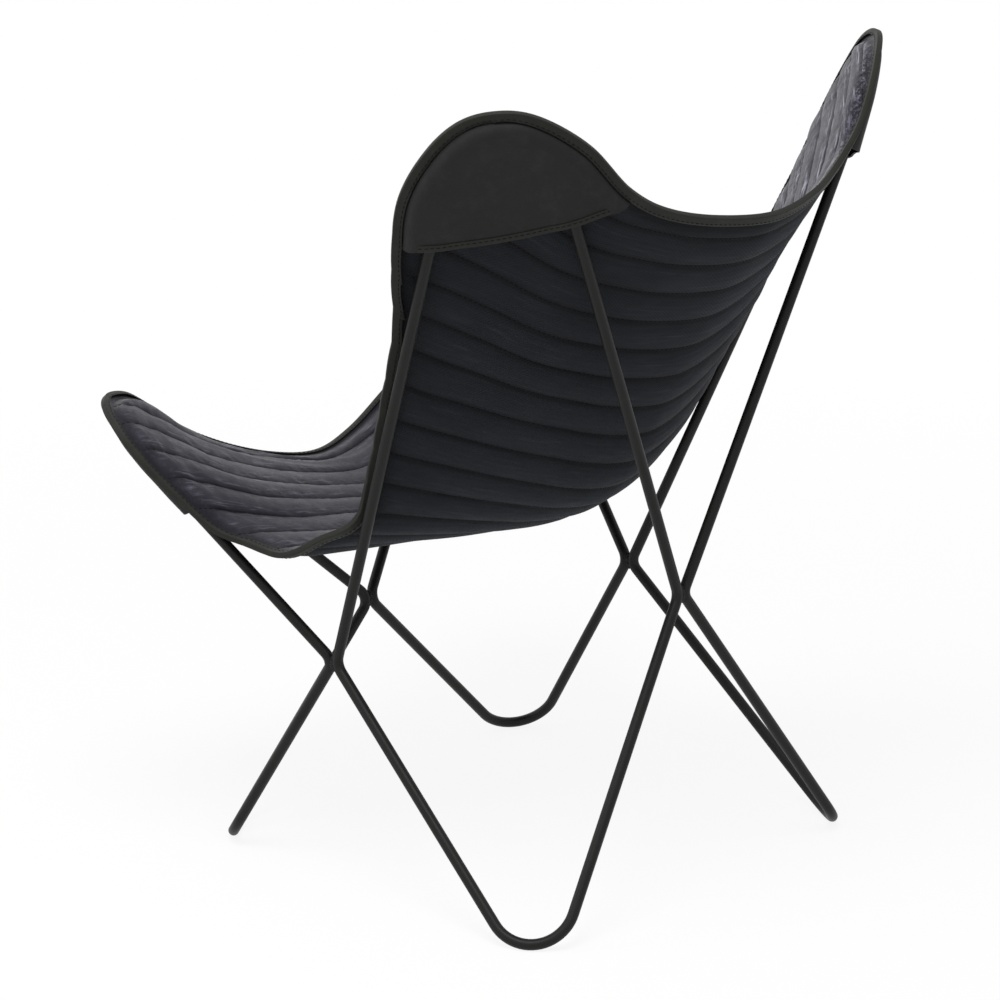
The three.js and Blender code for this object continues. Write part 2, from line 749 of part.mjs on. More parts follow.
function pocketGeometry(lines, frame) {
  const count = lines.outline.length;
  const rows = [0, 1, 2].map((row) => Array.from({ length: count }, (_, k) => row * count + k));
  const triangles = [...ladder(rows[0], rows[1]), ...ladder(rows[1], rows[2])];
  const floorRow = rows[2];
  const between = hemRows(lines, frame).map((row) => row.slice(1, -1));
  const ids = between.map((row, n) => row.map((_, i) => 3 * count + n * row.length + i));
  const openEdge = [floorRow.at(-1), ...ids[0], floorRow[0]];
  const innerEdge = [floorRow.at(-2), ...ids[1], floorRow[1]];
  triangles.push(...ladder(openEdge, innerEdge));
  for (let i = 1; i < hemSteps; i++) triangles.push([innerEdge[0], innerEdge[i], innerEdge[i + 1]]);
  const height = lines.floorLine.map(({ place }) => place.dot(frame.axis));
  let k = 1;
  let m = count - 2;
  while (m - k > 1) {
    const nearSide = height[k + 1] < height[m - 1];
    triangles.push((nearSide ? [k, k + 1, m] : [k, m - 1, m]).map((n) => floorRow[n]));
    if (nearSide) k++;
    else m--;
  }
  const rim = [...rows[0], rows[1].at(-1), ...openEdge, rows[1][0]];
  const points = [...lines.outline, ...lines.seam, ...lines.floorLine, ...between.flat()];
  return sheet(points, triangles, rim, 0, pocketThickness);
}

// The folded strip under a pocket's open edge.
function hemGeometry(lines, frame) {
  const [openEdge, innerEdge] = hemRows(lines, frame);
  const ids = [...openEdge.keys()];
  const inner = ids.map((i) => i + ids.length);
  const hemTop = pocketThickness + clearance;
  const rim = [...ids, ...inner.toReversed()];
  return sheet([...openEdge, ...innerEdge], ladder(ids, inner), rim, hemTop, hemTop + hemThickness);
}

// The same geometry with its faces turned out.
function outwards(geometry) {
  const index = geometry.index.array;
  const at = (i) => new THREE.Vector3().fromBufferAttribute(geometry.attributes.position, index[i]);
  let volume = 0;
  for (let i = 0; i < index.length; i += 3) volume += at(i).dot(at(i + 1).cross(at(i + 2)));
  if (volume < 0) {
    for (let i = 0; i < index.length; i += 3) {
      [index[i + 1], index[i + 2]] = [index[i + 2], index[i + 1]];
    }
  }
  return geometry;
}

// Materials
const finish = (color, roughness, metalness) =>
  new THREE.MeshStandardMaterial({ color, roughness, metalness });
const coatedSteel = finish(0x2b2b29, 0.5, 0.3);
const weldedSteel = finish(0x2f2f2d, 0.55, 0.3);
const faceLeather = finish(0x504f55, 0.5, 0);
const pocketLeather = finish(0x29292a, 0.6, 0);
const bindingLeather = finish(0x2e2f2a, 0.6, 0);
const backingCanvas = finish(0x23252b, 0.9, 0);
const polyesterWadding = finish(0xe8e6e0, 1, 0);

// Assembly
const chair = new THREE.Group();

function addPiece(name, geometry, material) {
  const mesh = new THREE.Mesh(outwards(geometry), material);
  mesh.name = name;
  chair.add(mesh);
}

function addPair(name, geometry, material) {
  addPiece(name.replace("_", "_left_"), geometry, material);
  addPiece(name.replace("_", "_right_"), mirrored(geometry), material);
}

// Cuts a loop's foot flat where it stands on the floor.
function onFloor(geometry) {
  const floor = new THREE.BoxGeometry(1, 1, 1);
  floor.translate(0, 0, -0.5);
  floor.scale(4 * peakHalfSpan, 8 * backPeakDepth, peakHalfSpan);
  return fromSolid(toSolid(outwards(geometry)).subtract(toSolid(floor)));
}

function addFrame(rearArcs, frontArcs) {
  addPair("rear_loop", onFloor(loopGeometry(rearArcs, rodRadius)), coatedSteel);
  addPair("front_loop", onFloor(loopGeometry(frontArcs, rodRadius)), coatedSteel);
}

function addWelds(rearArcs, frontArcs) {
  const rear = outwards(loopGeometry(rearArcs, rodRadius + clearance));
  const front = outwards(loopGeometry(frontArcs, rodRadius + clearance));
  const sideways = new THREE.Vector3(1, 0, 0);
  const foreAft = new THREE.Vector3(0, 1, 0);
  const rearPlace = new THREE.Vector3(0, rearWeldDepth, rearWeldHeight);
  const frontPlace = new THREE.Vector3(0, -frontWeldDepth, frontWeldHeight);
  const leftPlace = new THREE.Vector3(sideWeldHalfSpan, sideWeldDepth, sideWeldHeight);
  const rearBead = weldGeometry(rearPlace, up, sideways, [rear, mirrored(rear)]);
  const frontBead = weldGeometry(frontPlace, up, sideways, [front, mirrored(front)]);
  const leftBead = weldGeometry(leftPlace, up, foreAft, [rear, front]);
  addPiece("rear_center_weld", rearBead, weldedSteel);
  addPiece("front_center_weld", frontBead, weldedSteel);
  addPiece("left_weld", leftBead, weldedSteel);
  addPiece("right_weld", mirrored(leftBead), weldedSteel);
}

function addSling(backFrame, frontFrame) {
  const grid = quiltGrid(slingCurves(backFrame, frontFrame));
  const border = quiltBorder(grid);
  addPiece("face_panel", quiltSheet(grid, faceTop, faceBottom), faceLeather);
  addPiece("wadding", quiltSheet(grid, waddingTop, waddingBottom), polyesterWadding);
  addPiece("backing_panel", quiltSheet(grid, backingTop, backingBottom), backingCanvas);
  addPiece("edge_binding", bindingGeometry(border), bindingLeather);
  addPockets("back", border, backFrame, true);
  addPockets("front", border, frontFrame, false);
}

function addPockets(end, border, frame, rear) {
  const lines = pocketLines(border, frame, rear);
  addPair(`${end}_pocket`, pocketGeometry(lines, frame), pocketLeather);
  addPair(`${end}_pocket_hem`, hemGeometry(lines, frame), bindingLeather);
}

const rearArcs = loopArcs(loopBends(true));
const frontArcs = loopArcs(loopBends(false));
addFrame(rearArcs, frontArcs);
addWelds(rearArcs, frontArcs);
addSling(peakFrame(rearArcs[0], true), peakFrame(frontArcs[0], false));

// The origin is under the middle of the chair's outline, on the floor.
const box = new THREE.Box3().setFromObject(chair);
chair.position.y = -(box.min.y + box.max.y) / 2;

export default chair;
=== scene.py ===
"""A butterfly sling chair: four bent and welded rod loops, and a quilted leather sling with a
canvas back, bound round its edge and hung by four pockets on the loops' upper bends.
Metres. X runs across with the sitter's left positive, Y from front to back, Z up."""

import functools
import math
from types import SimpleNamespace

import bpy
import numpy as np
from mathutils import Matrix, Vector


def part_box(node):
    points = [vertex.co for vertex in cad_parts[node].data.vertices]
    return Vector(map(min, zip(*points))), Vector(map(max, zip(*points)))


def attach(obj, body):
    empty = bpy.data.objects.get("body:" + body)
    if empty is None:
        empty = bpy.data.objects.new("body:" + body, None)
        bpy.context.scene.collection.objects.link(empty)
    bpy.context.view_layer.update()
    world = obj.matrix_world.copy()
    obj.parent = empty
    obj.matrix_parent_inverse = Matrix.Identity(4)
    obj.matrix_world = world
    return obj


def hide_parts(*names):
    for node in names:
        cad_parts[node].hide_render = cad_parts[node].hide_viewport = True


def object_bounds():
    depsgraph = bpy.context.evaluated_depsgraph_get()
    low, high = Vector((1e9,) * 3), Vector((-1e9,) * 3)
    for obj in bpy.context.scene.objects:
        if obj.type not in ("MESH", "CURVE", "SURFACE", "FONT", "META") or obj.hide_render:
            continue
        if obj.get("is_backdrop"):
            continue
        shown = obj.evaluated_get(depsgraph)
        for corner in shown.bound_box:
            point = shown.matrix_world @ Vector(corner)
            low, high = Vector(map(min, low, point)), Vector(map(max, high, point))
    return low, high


bl_info = {
    "name": "Butterfly sling chair",
    "version": (1, 0, 0),
    "blender": (4, 5, 0),
    "location": "3D View > Sidebar > Sling chair",
    "description": "Builds a quilted leather sling chair on a frame of bent steel rod",
    "category": "Object",
}

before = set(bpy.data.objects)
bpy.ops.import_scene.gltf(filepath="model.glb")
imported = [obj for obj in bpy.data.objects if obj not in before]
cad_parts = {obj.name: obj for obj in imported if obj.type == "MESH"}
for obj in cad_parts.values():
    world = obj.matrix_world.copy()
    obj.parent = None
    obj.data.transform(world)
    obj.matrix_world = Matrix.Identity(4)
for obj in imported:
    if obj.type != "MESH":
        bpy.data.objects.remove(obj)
cad_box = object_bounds()

MM = 0.001
ORIGIN_DEPTH = 49.4155 * MM  # from the loops' own middle to the middle of the chair's outline

# Fits
CLEARANCE = 0.3 * MM  # between pieces that touch, as in the part
POCKET_GAP = 0.5 * MM  # from the canvas to a pocket's leather
FOOT_FLAT = 0.5 * MM  # depth of the flats that the feet stand on

# Sling shape. Places are shares: of the peak's half span, of the peak's depth (the back peak's
# when positive, the front peak's when negative), and of the rise from the seat to that peak.
BACK_EDGE = [(0, 1.351, 0.783), (0.266, 1.311, 0.797), (0.465, 1.254, 0.827)]
FRONT_EDGE = [(0, -0.99, 0.14), (0.213, -1.025, 0.22), (0.44, -1.078, 0.42)]
CENTRE_LINE = [
    (0, 1.05, 0.541), (0, 0.836, 0.319), (0, 0.645, 0.144),
    (0, 0.388, 0.042), (0, 0.033, 0), (0, -0.44, 0.002),
]
# Beside the rear loop's front rod the first two shares count from the rod, outwards and forwards.
REAR_SIDE_EDGE = [
    (0.071, 0.149, 0.568), (0.0427, 0.1235, 0.399), (0.0278, 0.0995, 0.243),
    (0.0356, 0.0853, 0.13), (0.101, 0.17, 0.08),
]
FRONT_SIDE_EDGE = [(1, -0.073, 0.131), (1.007, -0.271, 0.146)]
# Outline round a peak: degrees from the peak's axis, and reach as a share of the bend's radius.
BACK_LOBE = [
    (-131, 1.222), (-102, 0.46), (-66, 0.046), (-30, -0.015),
    (0, -0.015), (30, -0.006), (69, 0.233), (99, 0.829),
]
FRONT_LOBE = [
    (-124, 1.116), (-102, 0.513), (-66, 0.211), (-30, 0.121),
    (0, 0.045), (34, 0), (62, 0.045), (92, 0.256),
]
SAG_POWER = 1.63  # section of the sling: 2 would be a parabola
BACK_EDGE_REACH, FRONT_EDGE_REACH = 0.5, 0.35  # how far an end edge's own shape reaches
PEAK_REACH = 3  # of the bend's radius: how far round a peak the quilt rests on the rods
ROD_ROOM = 0.5 * MM  # from the pocket's slope to the rod
FACE_PRESS, BACK_PRESS = 1.3 * MM, 0.7 * MM  # by which the binding presses the edge's layers
PRESS_FROM, PRESS_TO = 8 * MM, 17 * MM  # from the edge, where the layers begin to rise and are free
POCKET_RUN = 7.2 * MM  # width in which a pocket sinks below the rod
EDGE_TUCK = 5.5 * MM  # by which the pocket's pull draws a lobe's edge back round the rod
TUCK_FROM, TUCK_TO = 9.8 * MM, 22.5 * MM  # from the edge, where that bend ends and begins
TUCK_NEAR, TUCK_FAR = 95 * MM, 150 * MM  # from a peak's centre, where that bend fades
LESS_TUCK = 0.3  # share of it by a back lobe's side edge and by a front lobe's front edge
TIGHT_RUN = 60 * MM  # sideways from a peak's axis, in which it eases to that share
LIFT_FADE = 50 * MM  # beyond PEAK_REACH, in which the quilt comes off the rods

# Quilt seams, counted from the first full seam under the back edge
WHOLE_CHANNELS = 20
EDGE_PART = 0.75  # of a channel, between an end edge and its first full seam
BACK_LOBE_CHANNELS, FRONT_LOBE_CHANNELS = 1.75, 1
LOBE_START = 0.35  # share of the half width where the back edge begins to cut channels
LOBE_POWER = 1.5  # 1 would cut them evenly from there on
SEAM_WANDER = 0.045  # of a channel, by which a seam strays from its line
WANDER_FADE = 1.2  # channels from an end edge, in which that sets in
BACK_TIP_PULL, FRONT_TIP_PULL = 0.8, 1.1  # of a channel, by which seams end nearer a lobe's tip
BACK_PULL_SEAMS = (-2.5, 1, 2, 9)  # seams between which that pull sets in and fades
FRONT_PULL_SEAMS = (12, 17, 19.2, 21.75)
PULL_START = 0.6  # share of the half width where it begins
SEAM_DRAW = 0.003  # share of the half width by which a seam draws the side edge in
DRAW_START = 0.75  # share of the half width where that begins
CROWN_POWER = 0.82  # section of a channel: 1 would be a sine

# Relief of the face leather: heights, and widths of the lumps along the channels
FULLER, FULLER_WIDTH = 0.9 * MM, 70 * MM
DIMPLE, DIMPLE_WIDTH = 0.45 * MM, 28 * MM
PUCKER, PUCKER_WIDTH, PUCKER_PLACE = 0.7 * MM, 8.5 * MM, 5 * MM  # the last is from the seam
FOLD, FOLD_WIDTH = 1.1 * MM, 11 * MM
FOLD_PLACE = (12 * MM, 24 * MM, 48 * MM, 85 * MM)  # from the edge, where folds set in and fade
RELIEF_FADE = 12 * MM  # inside the binding, in which the relief sets in

# Wear of the face leather
USE_NEAR, USE_FAR = 120 * MM, 320 * MM  # from a peak's centre, where its bending in use fades
VALLEY_SEAM, VALLEY_REACH = 11, 2.2  # seam where the back meets the seat, and seams it takes
RIDGE_PLACE, RIDGE_REACH = 18 * MM, 4 * MM  # from the edge, where the leather bends round a rod

# Relief of the canvas
REST_NEAR, REST_FAR = 170 * MM, 240 * MM  # from a peak's centre, where the canvas leaves the rods
BELLY_WIDTH, BELLY_CHANGE = 90 * MM, 0.25  # along the channels, and as a share of the belly
SHIRR, SHIRR_WIDTH, SHIRR_REACH = 0.35 * MM, 12 * MM, 9 * MM  # puckers beside the canvas' seams

# Thread
STITCH_HALF = 0.37  # of the pitch: half the length of a stitch
STITCH_SIDES = 6
# Share of the stitch's length, and lift and girth as shares of the thread's radius
STITCH_PROFILE = [(0, -0.55, 0.3), (0.14, 0.05, 0.8), (0.5, 0.32, 1), (0.86, 0.05, 0.8),
                  (1, -0.55, 0.3)]
SEAM_INSET = 9.5 * MM  # from the edge, where the stitches of the seams end
RUN_GAP = 20 * MM  # a wider one between two of a seam's vertices parts its stitches
LEAST_RUN = 4  # vertices in a stitched stretch of a seam

# Weld beads
BEAD_ROOM = 0.2 * MM  # by which a bead may stand out of the box of its node
RIPPLE, RIPPLE_PITCH = 0.035, 2.2 * MM  # share of the bead's own radius, and along the bead

# Binding
BINDING_ROUND = 0.8 * MM  # radius of the fold's outer edges

# Pockets
POCKET_CORNER = 3.7 * MM  # from the border to the corner that a pocket's slope rounds
POCKET_SLOPE = (0.12, 0.26, 0.42, 0.6, 0.8, 1)  # steps down that slope
POCKET_REACH = 160  # vertices of the outline that are looked through on each side of a tip
POCKET_SLACK = 2.2 * MM  # by which the leather goes in between the rod's legs
SLACK_FROM, SLACK_TO = 6 * MM, 30 * MM  # from the rod, where that begins and is full
# Share of the hem's width, and by how much its underside is rounded there
HEM_SECTION = [(0, 0.25 * MM), (0.25, 0), (0.6, 0), (1, 0.25 * MM)]

# Patterns of the materials
STREAK_STRETCH = (0.13, 1, 1)  # shares that draw a pattern out along the channels
SLUB_STRETCH = (0.12, 1, 1)
WAVE_LENGTH = 0.314  # of a wave texture's band at a scale of one

# Studio
LAMPS = {  # place, and diameter
    "softbox": ((1.2, 0.6, 3.4), 1.8),
    "side_fill": ((2.6, -2.2, 1.8), 2),
    "front_fill": ((-1.7, -3.4, 1.5), 1.6),
}
LAMP_AIM = (0, 0, 0.45)
SENSOR_WIDTH = 36  # millimetres
CAMERA_CLIP = 100
FLOOR_SIDES = 96
FLOOR_RINGS = (0.5, 1.2, 2.5, 6, 14)
FLOOR_LEVEL = -0.5 * MM  # just under the feet
SHADOW_FADE = (0.7, 2)  # from the middle of the floor, where the chair's shadow fades to white
SHADOW_LIFT = 0.88  # share of plain white in the shadow

# Mesh fineness
SPLINE_STEPS = 400
OUTLINE_STEPS = 160  # along each of the sling's edges, where distances from them are measured
CORNER_PASSES = 60
ROD_SIDES = 32
PEAK_STEPS, FOOT_STEPS, WAIST_STEPS = 26, 24, 12  # along a bend of the rod
SHARP_ANGLE = math.radians(48)  # edges above it are shaded sharp
NORMAL_STEP = 0.004  # of the quilt's width or length, over which a normal is taken
LEAST_SLANT = 0.35  # sine of the flattest angle between an edge and a row or column
LEAST_ROW = 0.03  # of a channel, between a row and the border's inner line
CHUNK = 2000  # vertices whose distances from the outline are measured at once
FACE_COLUMNS, BACK_COLUMNS = 84, 62  # on each side of the centre line
FACE_ROWS = (0, 0.035, 0.09, 0.17, 0.27, 0.385, 0.5, 0.615, 0.73, 0.83, 0.91, 0.965)
BACK_ROWS = (0, 0.06, 0.17, 0.33, 0.5, 0.67, 0.83, 0.94)
BAND_COLUMNS = 5
EDGE_STEPS = 9
POCKET_STEPS = 44  # along each side of a pocket, from the tip to the hem
POCKET_COLUMNS = 36


def linear(colour):
    """An sRGB hex colour as the linear numbers that shaders take."""
    parts = [int(colour[i:i + 2], 16) / 255 for i in (1, 3, 5)]
    return tuple(c / 12.92 if c <= 0.04045 else ((c + 0.055) / 1.055) ** 2.4 for c in parts)


def distance(name, millimetres, description):
    """A length that the user may change."""
    return bpy.props.FloatProperty(
        name=name, description=description, default=millimetres * MM, precision=5,
        subtype="DISTANCE", unit="LENGTH")


def tint(name, colour, description):
    """A colour that the user may change."""
    return bpy.props.FloatVectorProperty(
        name=name, description=description, default=linear(colour), min=0, max=1, size=3,
        subtype="COLOR")


class ChairFrameSizes(bpy.types.PropertyGroup):
    """Rod frame, with every place on the rod's centre line"""
    rod: distance("Rod", 12, "Diameter of the steel rod")
    back_bend: distance("Back peak bend", 57, "Radius of the two tall upper bends")
    front_bend: distance("Front peak bend", 58, "Radius of the two low upper bends")
    foot_bend: distance("Foot bend", 46, "Radius of the four bends on the floor")
    waist_bend: distance("Waist bend", 16, "Radius of the bends at the welds")
    span: distance("Half span", 295, "From the middle to a peak, sideways")
    back_depth: distance("Back peak depth", 298, "From the side welds back to a tall peak")
    back_height: distance("Back peak height", 874, "Height of a tall peak")
    front_depth: distance("Front peak depth", 270, "From the side welds forward to a low peak")
    front_height: distance("Front peak height", 481, "Height of a low peak")
    rear_foot_span: distance("Rear foot half span", 248, "From the middle to a rear foot")
    rear_foot_depth: distance("Rear foot depth", 304, "Depth of a rear foot")
    front_foot_span: distance("Front foot half span", 238, "From the middle to a front foot")
    front_foot_depth: distance("Front foot depth", 163, "Depth of a front foot")
    rear_weld_depth: distance("Rear weld depth", 286, "Depth of the weld behind")
    rear_weld_height: distance("Rear weld height", 327, "Height of the weld behind")
    front_weld_depth: distance("Front weld depth", 182, "Depth of the weld in front")
    front_weld_height: distance("Front weld height", 217, "Height of the weld in front")
    side_weld_span: distance("Side weld half span", 243, "From the middle to a side weld")
    side_weld_depth: distance("Side weld depth", 4, "Depth of the side welds")
    side_weld_height: distance("Side weld height", 245, "Height of the side welds")


class SlingSizes(bpy.types.PropertyGroup):
    """Quilted sling, its binding and its pockets"""
    seat: distance("Seat height", 359, "Lowest point of the quilt's middle surface")
    pinch: distance("Pinched wadding", 1.6, "Thickness of the wadding in the seams")
    face_crown: distance("Face crown", 4.5, "Rise of a channel on the sitter's side")
    back_crown: distance("Back crown", 1.5, "Rise of a channel on the outside")
    face: distance("Face leather", 1.2, "Thickness of the face leather")
    canvas: distance("Canvas", 0.9, "Thickness of the backing canvas")
    pocket: distance("Pocket leather", 1.2, "Thickness of the pocket leather")
    binding_width: distance("Binding width", 9, "Width of the binding on each side")
    binding: distance("Binding leather", 0.9, "Thickness of the binding leather")
    binding_flare: distance("Binding flare", 0.9, "Rise of the binding's inner lip")
    binding_lap: distance("Binding lap", 0.8, "Flat border inside the binding")
    canvas_belly: distance("Canvas belly", 2.4, "Further rise of the canvas away from the rods")
    face_binding: distance("Binding on the face", 6.6, "Width of the binding on the sitter's side")
    band: distance("Side band", 6.4, "Flatter quilt inside the side binding")
    crown_fade: distance("Crown fade", 20, "Width in which channels rise beside the binding")
    back_hem_edge: distance("Back hem on the edge", 184, "Back pocket along the back edge")
    back_hem_side: distance("Back hem on the side", 212, "Back pocket along the side edge")
    front_hem_edge: distance("Front hem on the edge", 162, "Front pocket along the front edge")
    front_hem_side: distance("Front hem on the side", 205, "Front pocket along the side edge")
    hem_width: distance("Hem width", 8, "Width of a pocket's hem")
    hem_bow: distance("Hem bow", 9, "Bow of a pocket's open edge")
    hem: distance("Hem leather", 0.8, "Thickness of the hem's turned-in leather")
    stitch: distance("Stitch", 6, "Pitch of the stitches")
    thread: distance("Thread", 0.8, "Diameter of the sewing thread, as it shows")


class ChairColours(bpy.types.PropertyGroup):
    """Colours of the finishes"""
    coat: tint("Powder coat", "#0f0f0e", "Satin powder coat on the rods")
    # The face leather's crown colour is lighter partly by pull-up and partly as painted light, and
    # its seams take painted shade.
    leather: tint("Face leather", "#232227", "Face leather in the valleys")
    leather_high: tint("Face leather, high", "#3a393f", "Face leather on the crowns")
    # The moved wax colour is pale partly as a painted highlight.
    leather_wax: tint("Moved wax", "#8a8898", "Pale wax where the face leather was bent")
    pocket: tint("Pocket leather", "#181818", "Smooth leather of the pockets")
    binding: tint("Binding leather", "#1c1d18", "Leather tape round the edge")
    # The canvas takes painted light on its crowns and painted shade in its seams.
    canvas: tint("Canvas", "#17191d", "Backing canvas")
    thread: tint("Thread", "#060607", "Sewing thread")
    floor: tint("Floor", "#fbfbfa", "Studio floor")


class StudioSizes(bpy.types.PropertyGroup):
    """Camera and lights"""
    camera_place: bpy.props.FloatVectorProperty(
        name="Camera", description="Place of the camera", default=(3.112, 2.8386, 1.677),
        subtype="XYZ", unit="LENGTH")
    camera_turn: bpy.props.FloatProperty(
        name="Camera turn", description="Direction of view, from straight ahead",
        default=math.radians(47.37), subtype="ANGLE", unit="ROTATION")
    camera_tilt: bpy.props.FloatProperty(
        name="Camera tilt", description="Direction of view, below the horizon",
        default=math.radians(17.05), subtype="ANGLE", unit="ROTATION")
    lens: bpy.props.FloatProperty(
        name="Lens", description="Focal length in millimetres", default=143.9, min=1)
    lens_shift: bpy.props.FloatProperty(
        name="Shift", description="Vertical shift of the lens", default=-0.0018)
    daylight: bpy.props.FloatProperty(
        name="Room light", description="Strength of the even white light", default=0.5, min=0)
    softbox: bpy.props.FloatProperty(
        name="Softbox", description="Power of the large softbox in watts", default=70, min=0)
    fill: bpy.props.FloatProperty(
        name="Fill light", description="Power of the fill light in watts", default=25, min=0)
    front_fill: bpy.props.FloatProperty(
        name="Front light", description="Power of the light in front in watts", default=10, min=0)


# Vectors

def unit(vectors):
    """Vectors brought to a length of one."""
    return vectors / np.maximum(np.linalg.norm(vectors, axis=-1, keepdims=True), 1e-12)


def dot(a, b):
    """Dot products along the last axis."""
    return (a * b).sum(axis=-1)


def between(a, b):
    """Angle between two directions."""
    return math.acos(max(-1.0, min(1.0, float(unit(a) @ unit(b)))))


def flatten(vectors, normals):
    """Vectors with their part along the normals taken out."""
    return vectors - normals * dot(vectors, normals)[..., None]


def smooth(values, low, high):
    """An S curve from 0 at low to 1 at high."""
    t = np.clip((values - low) / (high - low), 0, 1)
    return t * t * (3 - 2 * t)


def window(values, start, full, end, gone):
    """An S curve from 0 at start to 1 at full, and another from 1 at end to 0 at gone."""
    return smooth(values, start, full) * (1 - smooth(values, end, gone))


def noise(x, y, seed):
    """Smooth noise from -1 to 1 whose lumps are one unit wide."""
    table = np.random.default_rng(seed).uniform(-1, 1, (256, 256))
    x, y = np.broadcast_arrays(np.asarray(x, float), np.asarray(y, float))
    i, j = np.floor(x).astype(int), np.floor(y).astype(int)
    u, v = x - i, y - j
    u, v = u * u * (3 - 2 * u), v * v * (3 - 2 * v)
    corner = lambda a, b: table[(i + a) % 256, (j + b) % 256]
    low = corner(0, 0) * (1 - u) + corner(1, 0) * u
    high = corner(0, 1) * (1 - u) + corner(1, 1) * u
    return low * (1 - v) + high * v


def lengths_along(points):
    """Length from the first of the points to each of them."""
    return np.concatenate([[0], np.cumsum(np.linalg.norm(np.diff(points, axis=0), axis=1))])


def walk(data, lengths, stops):
    """Rows of data at the stops, between those that belong to the lengths."""
    return np.stack([np.interp(stops, lengths, data[:, k]) for k in range(3)], 1)


class Line:
    """A smooth line through its points, walked by share of its length. before and after are where
    it would go on beyond its ends."""

    def __init__(self, points, before=None, after=None):
        points = np.array(points, float)
        before = 2 * points[0] - points[1] if before is None else before
        after = 2 * points[-1] - points[-2] if after is None else after
        self.points = np.vstack([before, points, after])
        self.steps = np.linspace(0, 1, SPLINE_STEPS + 1)
        self.runs = lengths_along(self.raw(self.steps))
        self.length = self.runs[-1]

    def raw(self, steps):
        """Places at steps from 0 to 1 that are even from point to point."""
        spans = len(self.points) - 3
        place = np.clip(np.asarray(steps, float) * spans, 0, spans)
        i = np.minimum(place.astype(int), spans - 1)
        w = (place - i)[..., None]
        before, here, there, after = (self.points[i + k] for k in range(4))
        leave, arrive = (there - before) / 2, (after - here) / 2
        square = 3 * (there - here) - 2 * leave - arrive
        cube = 2 * (here - there) + leave + arrive
        return here + w * (leave + w * (square + w * cube))

    def step(self, share):
        """Step at a share of the length."""
        return np.interp(np.asarray(share, float) * self.length, self.runs, self.steps)

    def at(self, share):
        """Place at a share of the length."""
        return self.raw(self.step(share))

    def direction(self, share, reach=1e-4):
        """Direction at a share of the length."""
        step = self.step(share)
        return unit(self.raw(np.minimum(step + reach, 1)) - self.raw(np.maximum(step - reach, 0)))


# Meshes

def volume(points, faces):
    """Signed volume inside closed faces."""
    total = 0.0
    for size in {len(face) for face in faces}:
        ring = np.array([face for face in faces if len(face) == size])
        for k in range(1, size - 1):
            a, b, c = points[ring[:, 0]], points[ring[:, k]], points[ring[:, k + 1]]
            total += dot(a, np.cross(b, c)).sum()
    return total


def add_piece(name, points, faces, material, replaces=(), flat=None, values=None):
    """A closed mesh of the chair, with its faces turned out, riding on the frame. flat holds each
    point's place on the uncut cloth, and values a number for each point."""
    points = np.asarray(points, float) - (0, ORIGIN_DEPTH, 0)
    if volume(points, faces) < 0:
        faces = [face[::-1] for face in faces]
    mesh = bpy.data.meshes.new(name)
    mesh.from_pydata(points.tolist(), [], faces)
    mesh.validate()
    if flat is not None:
        corners = np.empty(len(mesh.loops), int)
        mesh.loops.foreach_get("vertex_index", corners)
        mesh.uv_layers.new(name="cloth").data.foreach_set("uv", np.asarray(flat)[corners].ravel())
    for title, numbers in (values or {}).items():
        mesh.attributes.new(title, "FLOAT", "POINT").data.foreach_set("value", numbers)
    mesh.shade_smooth()
    mesh.set_sharp_from_angle(angle=SHARP_ANGLE)
    mesh.materials.append(material)
    piece = bpy.data.objects.new(name, mesh)
    bpy.context.scene.collection.objects.link(piece)
    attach(piece, "root")
    if replaces:
        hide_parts(*replaces)
    return piece


def mirrored(points):
    """The same points on the other side of the chair."""
    return np.asarray(points) * (-1, 1, 1)


def rings_closed(rings):
    """Faces of a closed sweep, given as an array of equal rings."""
    count, sides = rings.shape[:2]
    i, j = np.meshgrid(np.arange(count), np.arange(sides), indexing="ij")
    i, j, k, l = i.ravel(), j.ravel(), (i.ravel() + 1) % count, (j.ravel() + 1) % sides
    return np.stack([i * sides + j, i * sides + l, k * sides + l, k * sides + j], 1).tolist()


def grid_faces(rows, columns):
    """Faces of a grid of points, row by row."""
    return [[r * columns + i, r * columns + i + 1, (r + 1) * columns + i + 1,
             (r + 1) * columns + i] for r in range(rows - 1) for i in range(columns - 1)]


def closed_sheet(points, faces, rim, top, bottom):
    """Points and faces of a sheet with thickness: the open sheet moved by the vectors top and
    bottom, and walls along its rim."""
    count = len(points)
    under = [[n + count for n in face[::-1]] for face in faces]
    walls = [[a, b, b + count, a + count] for a, b in zip(rim, [*rim[1:], rim[0]])]
    return np.vstack([points + top, points + bottom]), [*faces, *under, *walls]


def sheet_normals(points, faces):
    """A normal for each point of an open sheet of triangles and four-sided faces."""
    normals = np.zeros_like(points)
    for face in faces:
        a, b, c = points[face[0]], points[face[1]], points[face[2]]
        across = np.cross(b - a, c - a)
        if len(face) == 4:
            across = across + np.cross(c - a, points[face[3]] - a)
        normals[face] += across
    return unit(normals)


# Rod loops

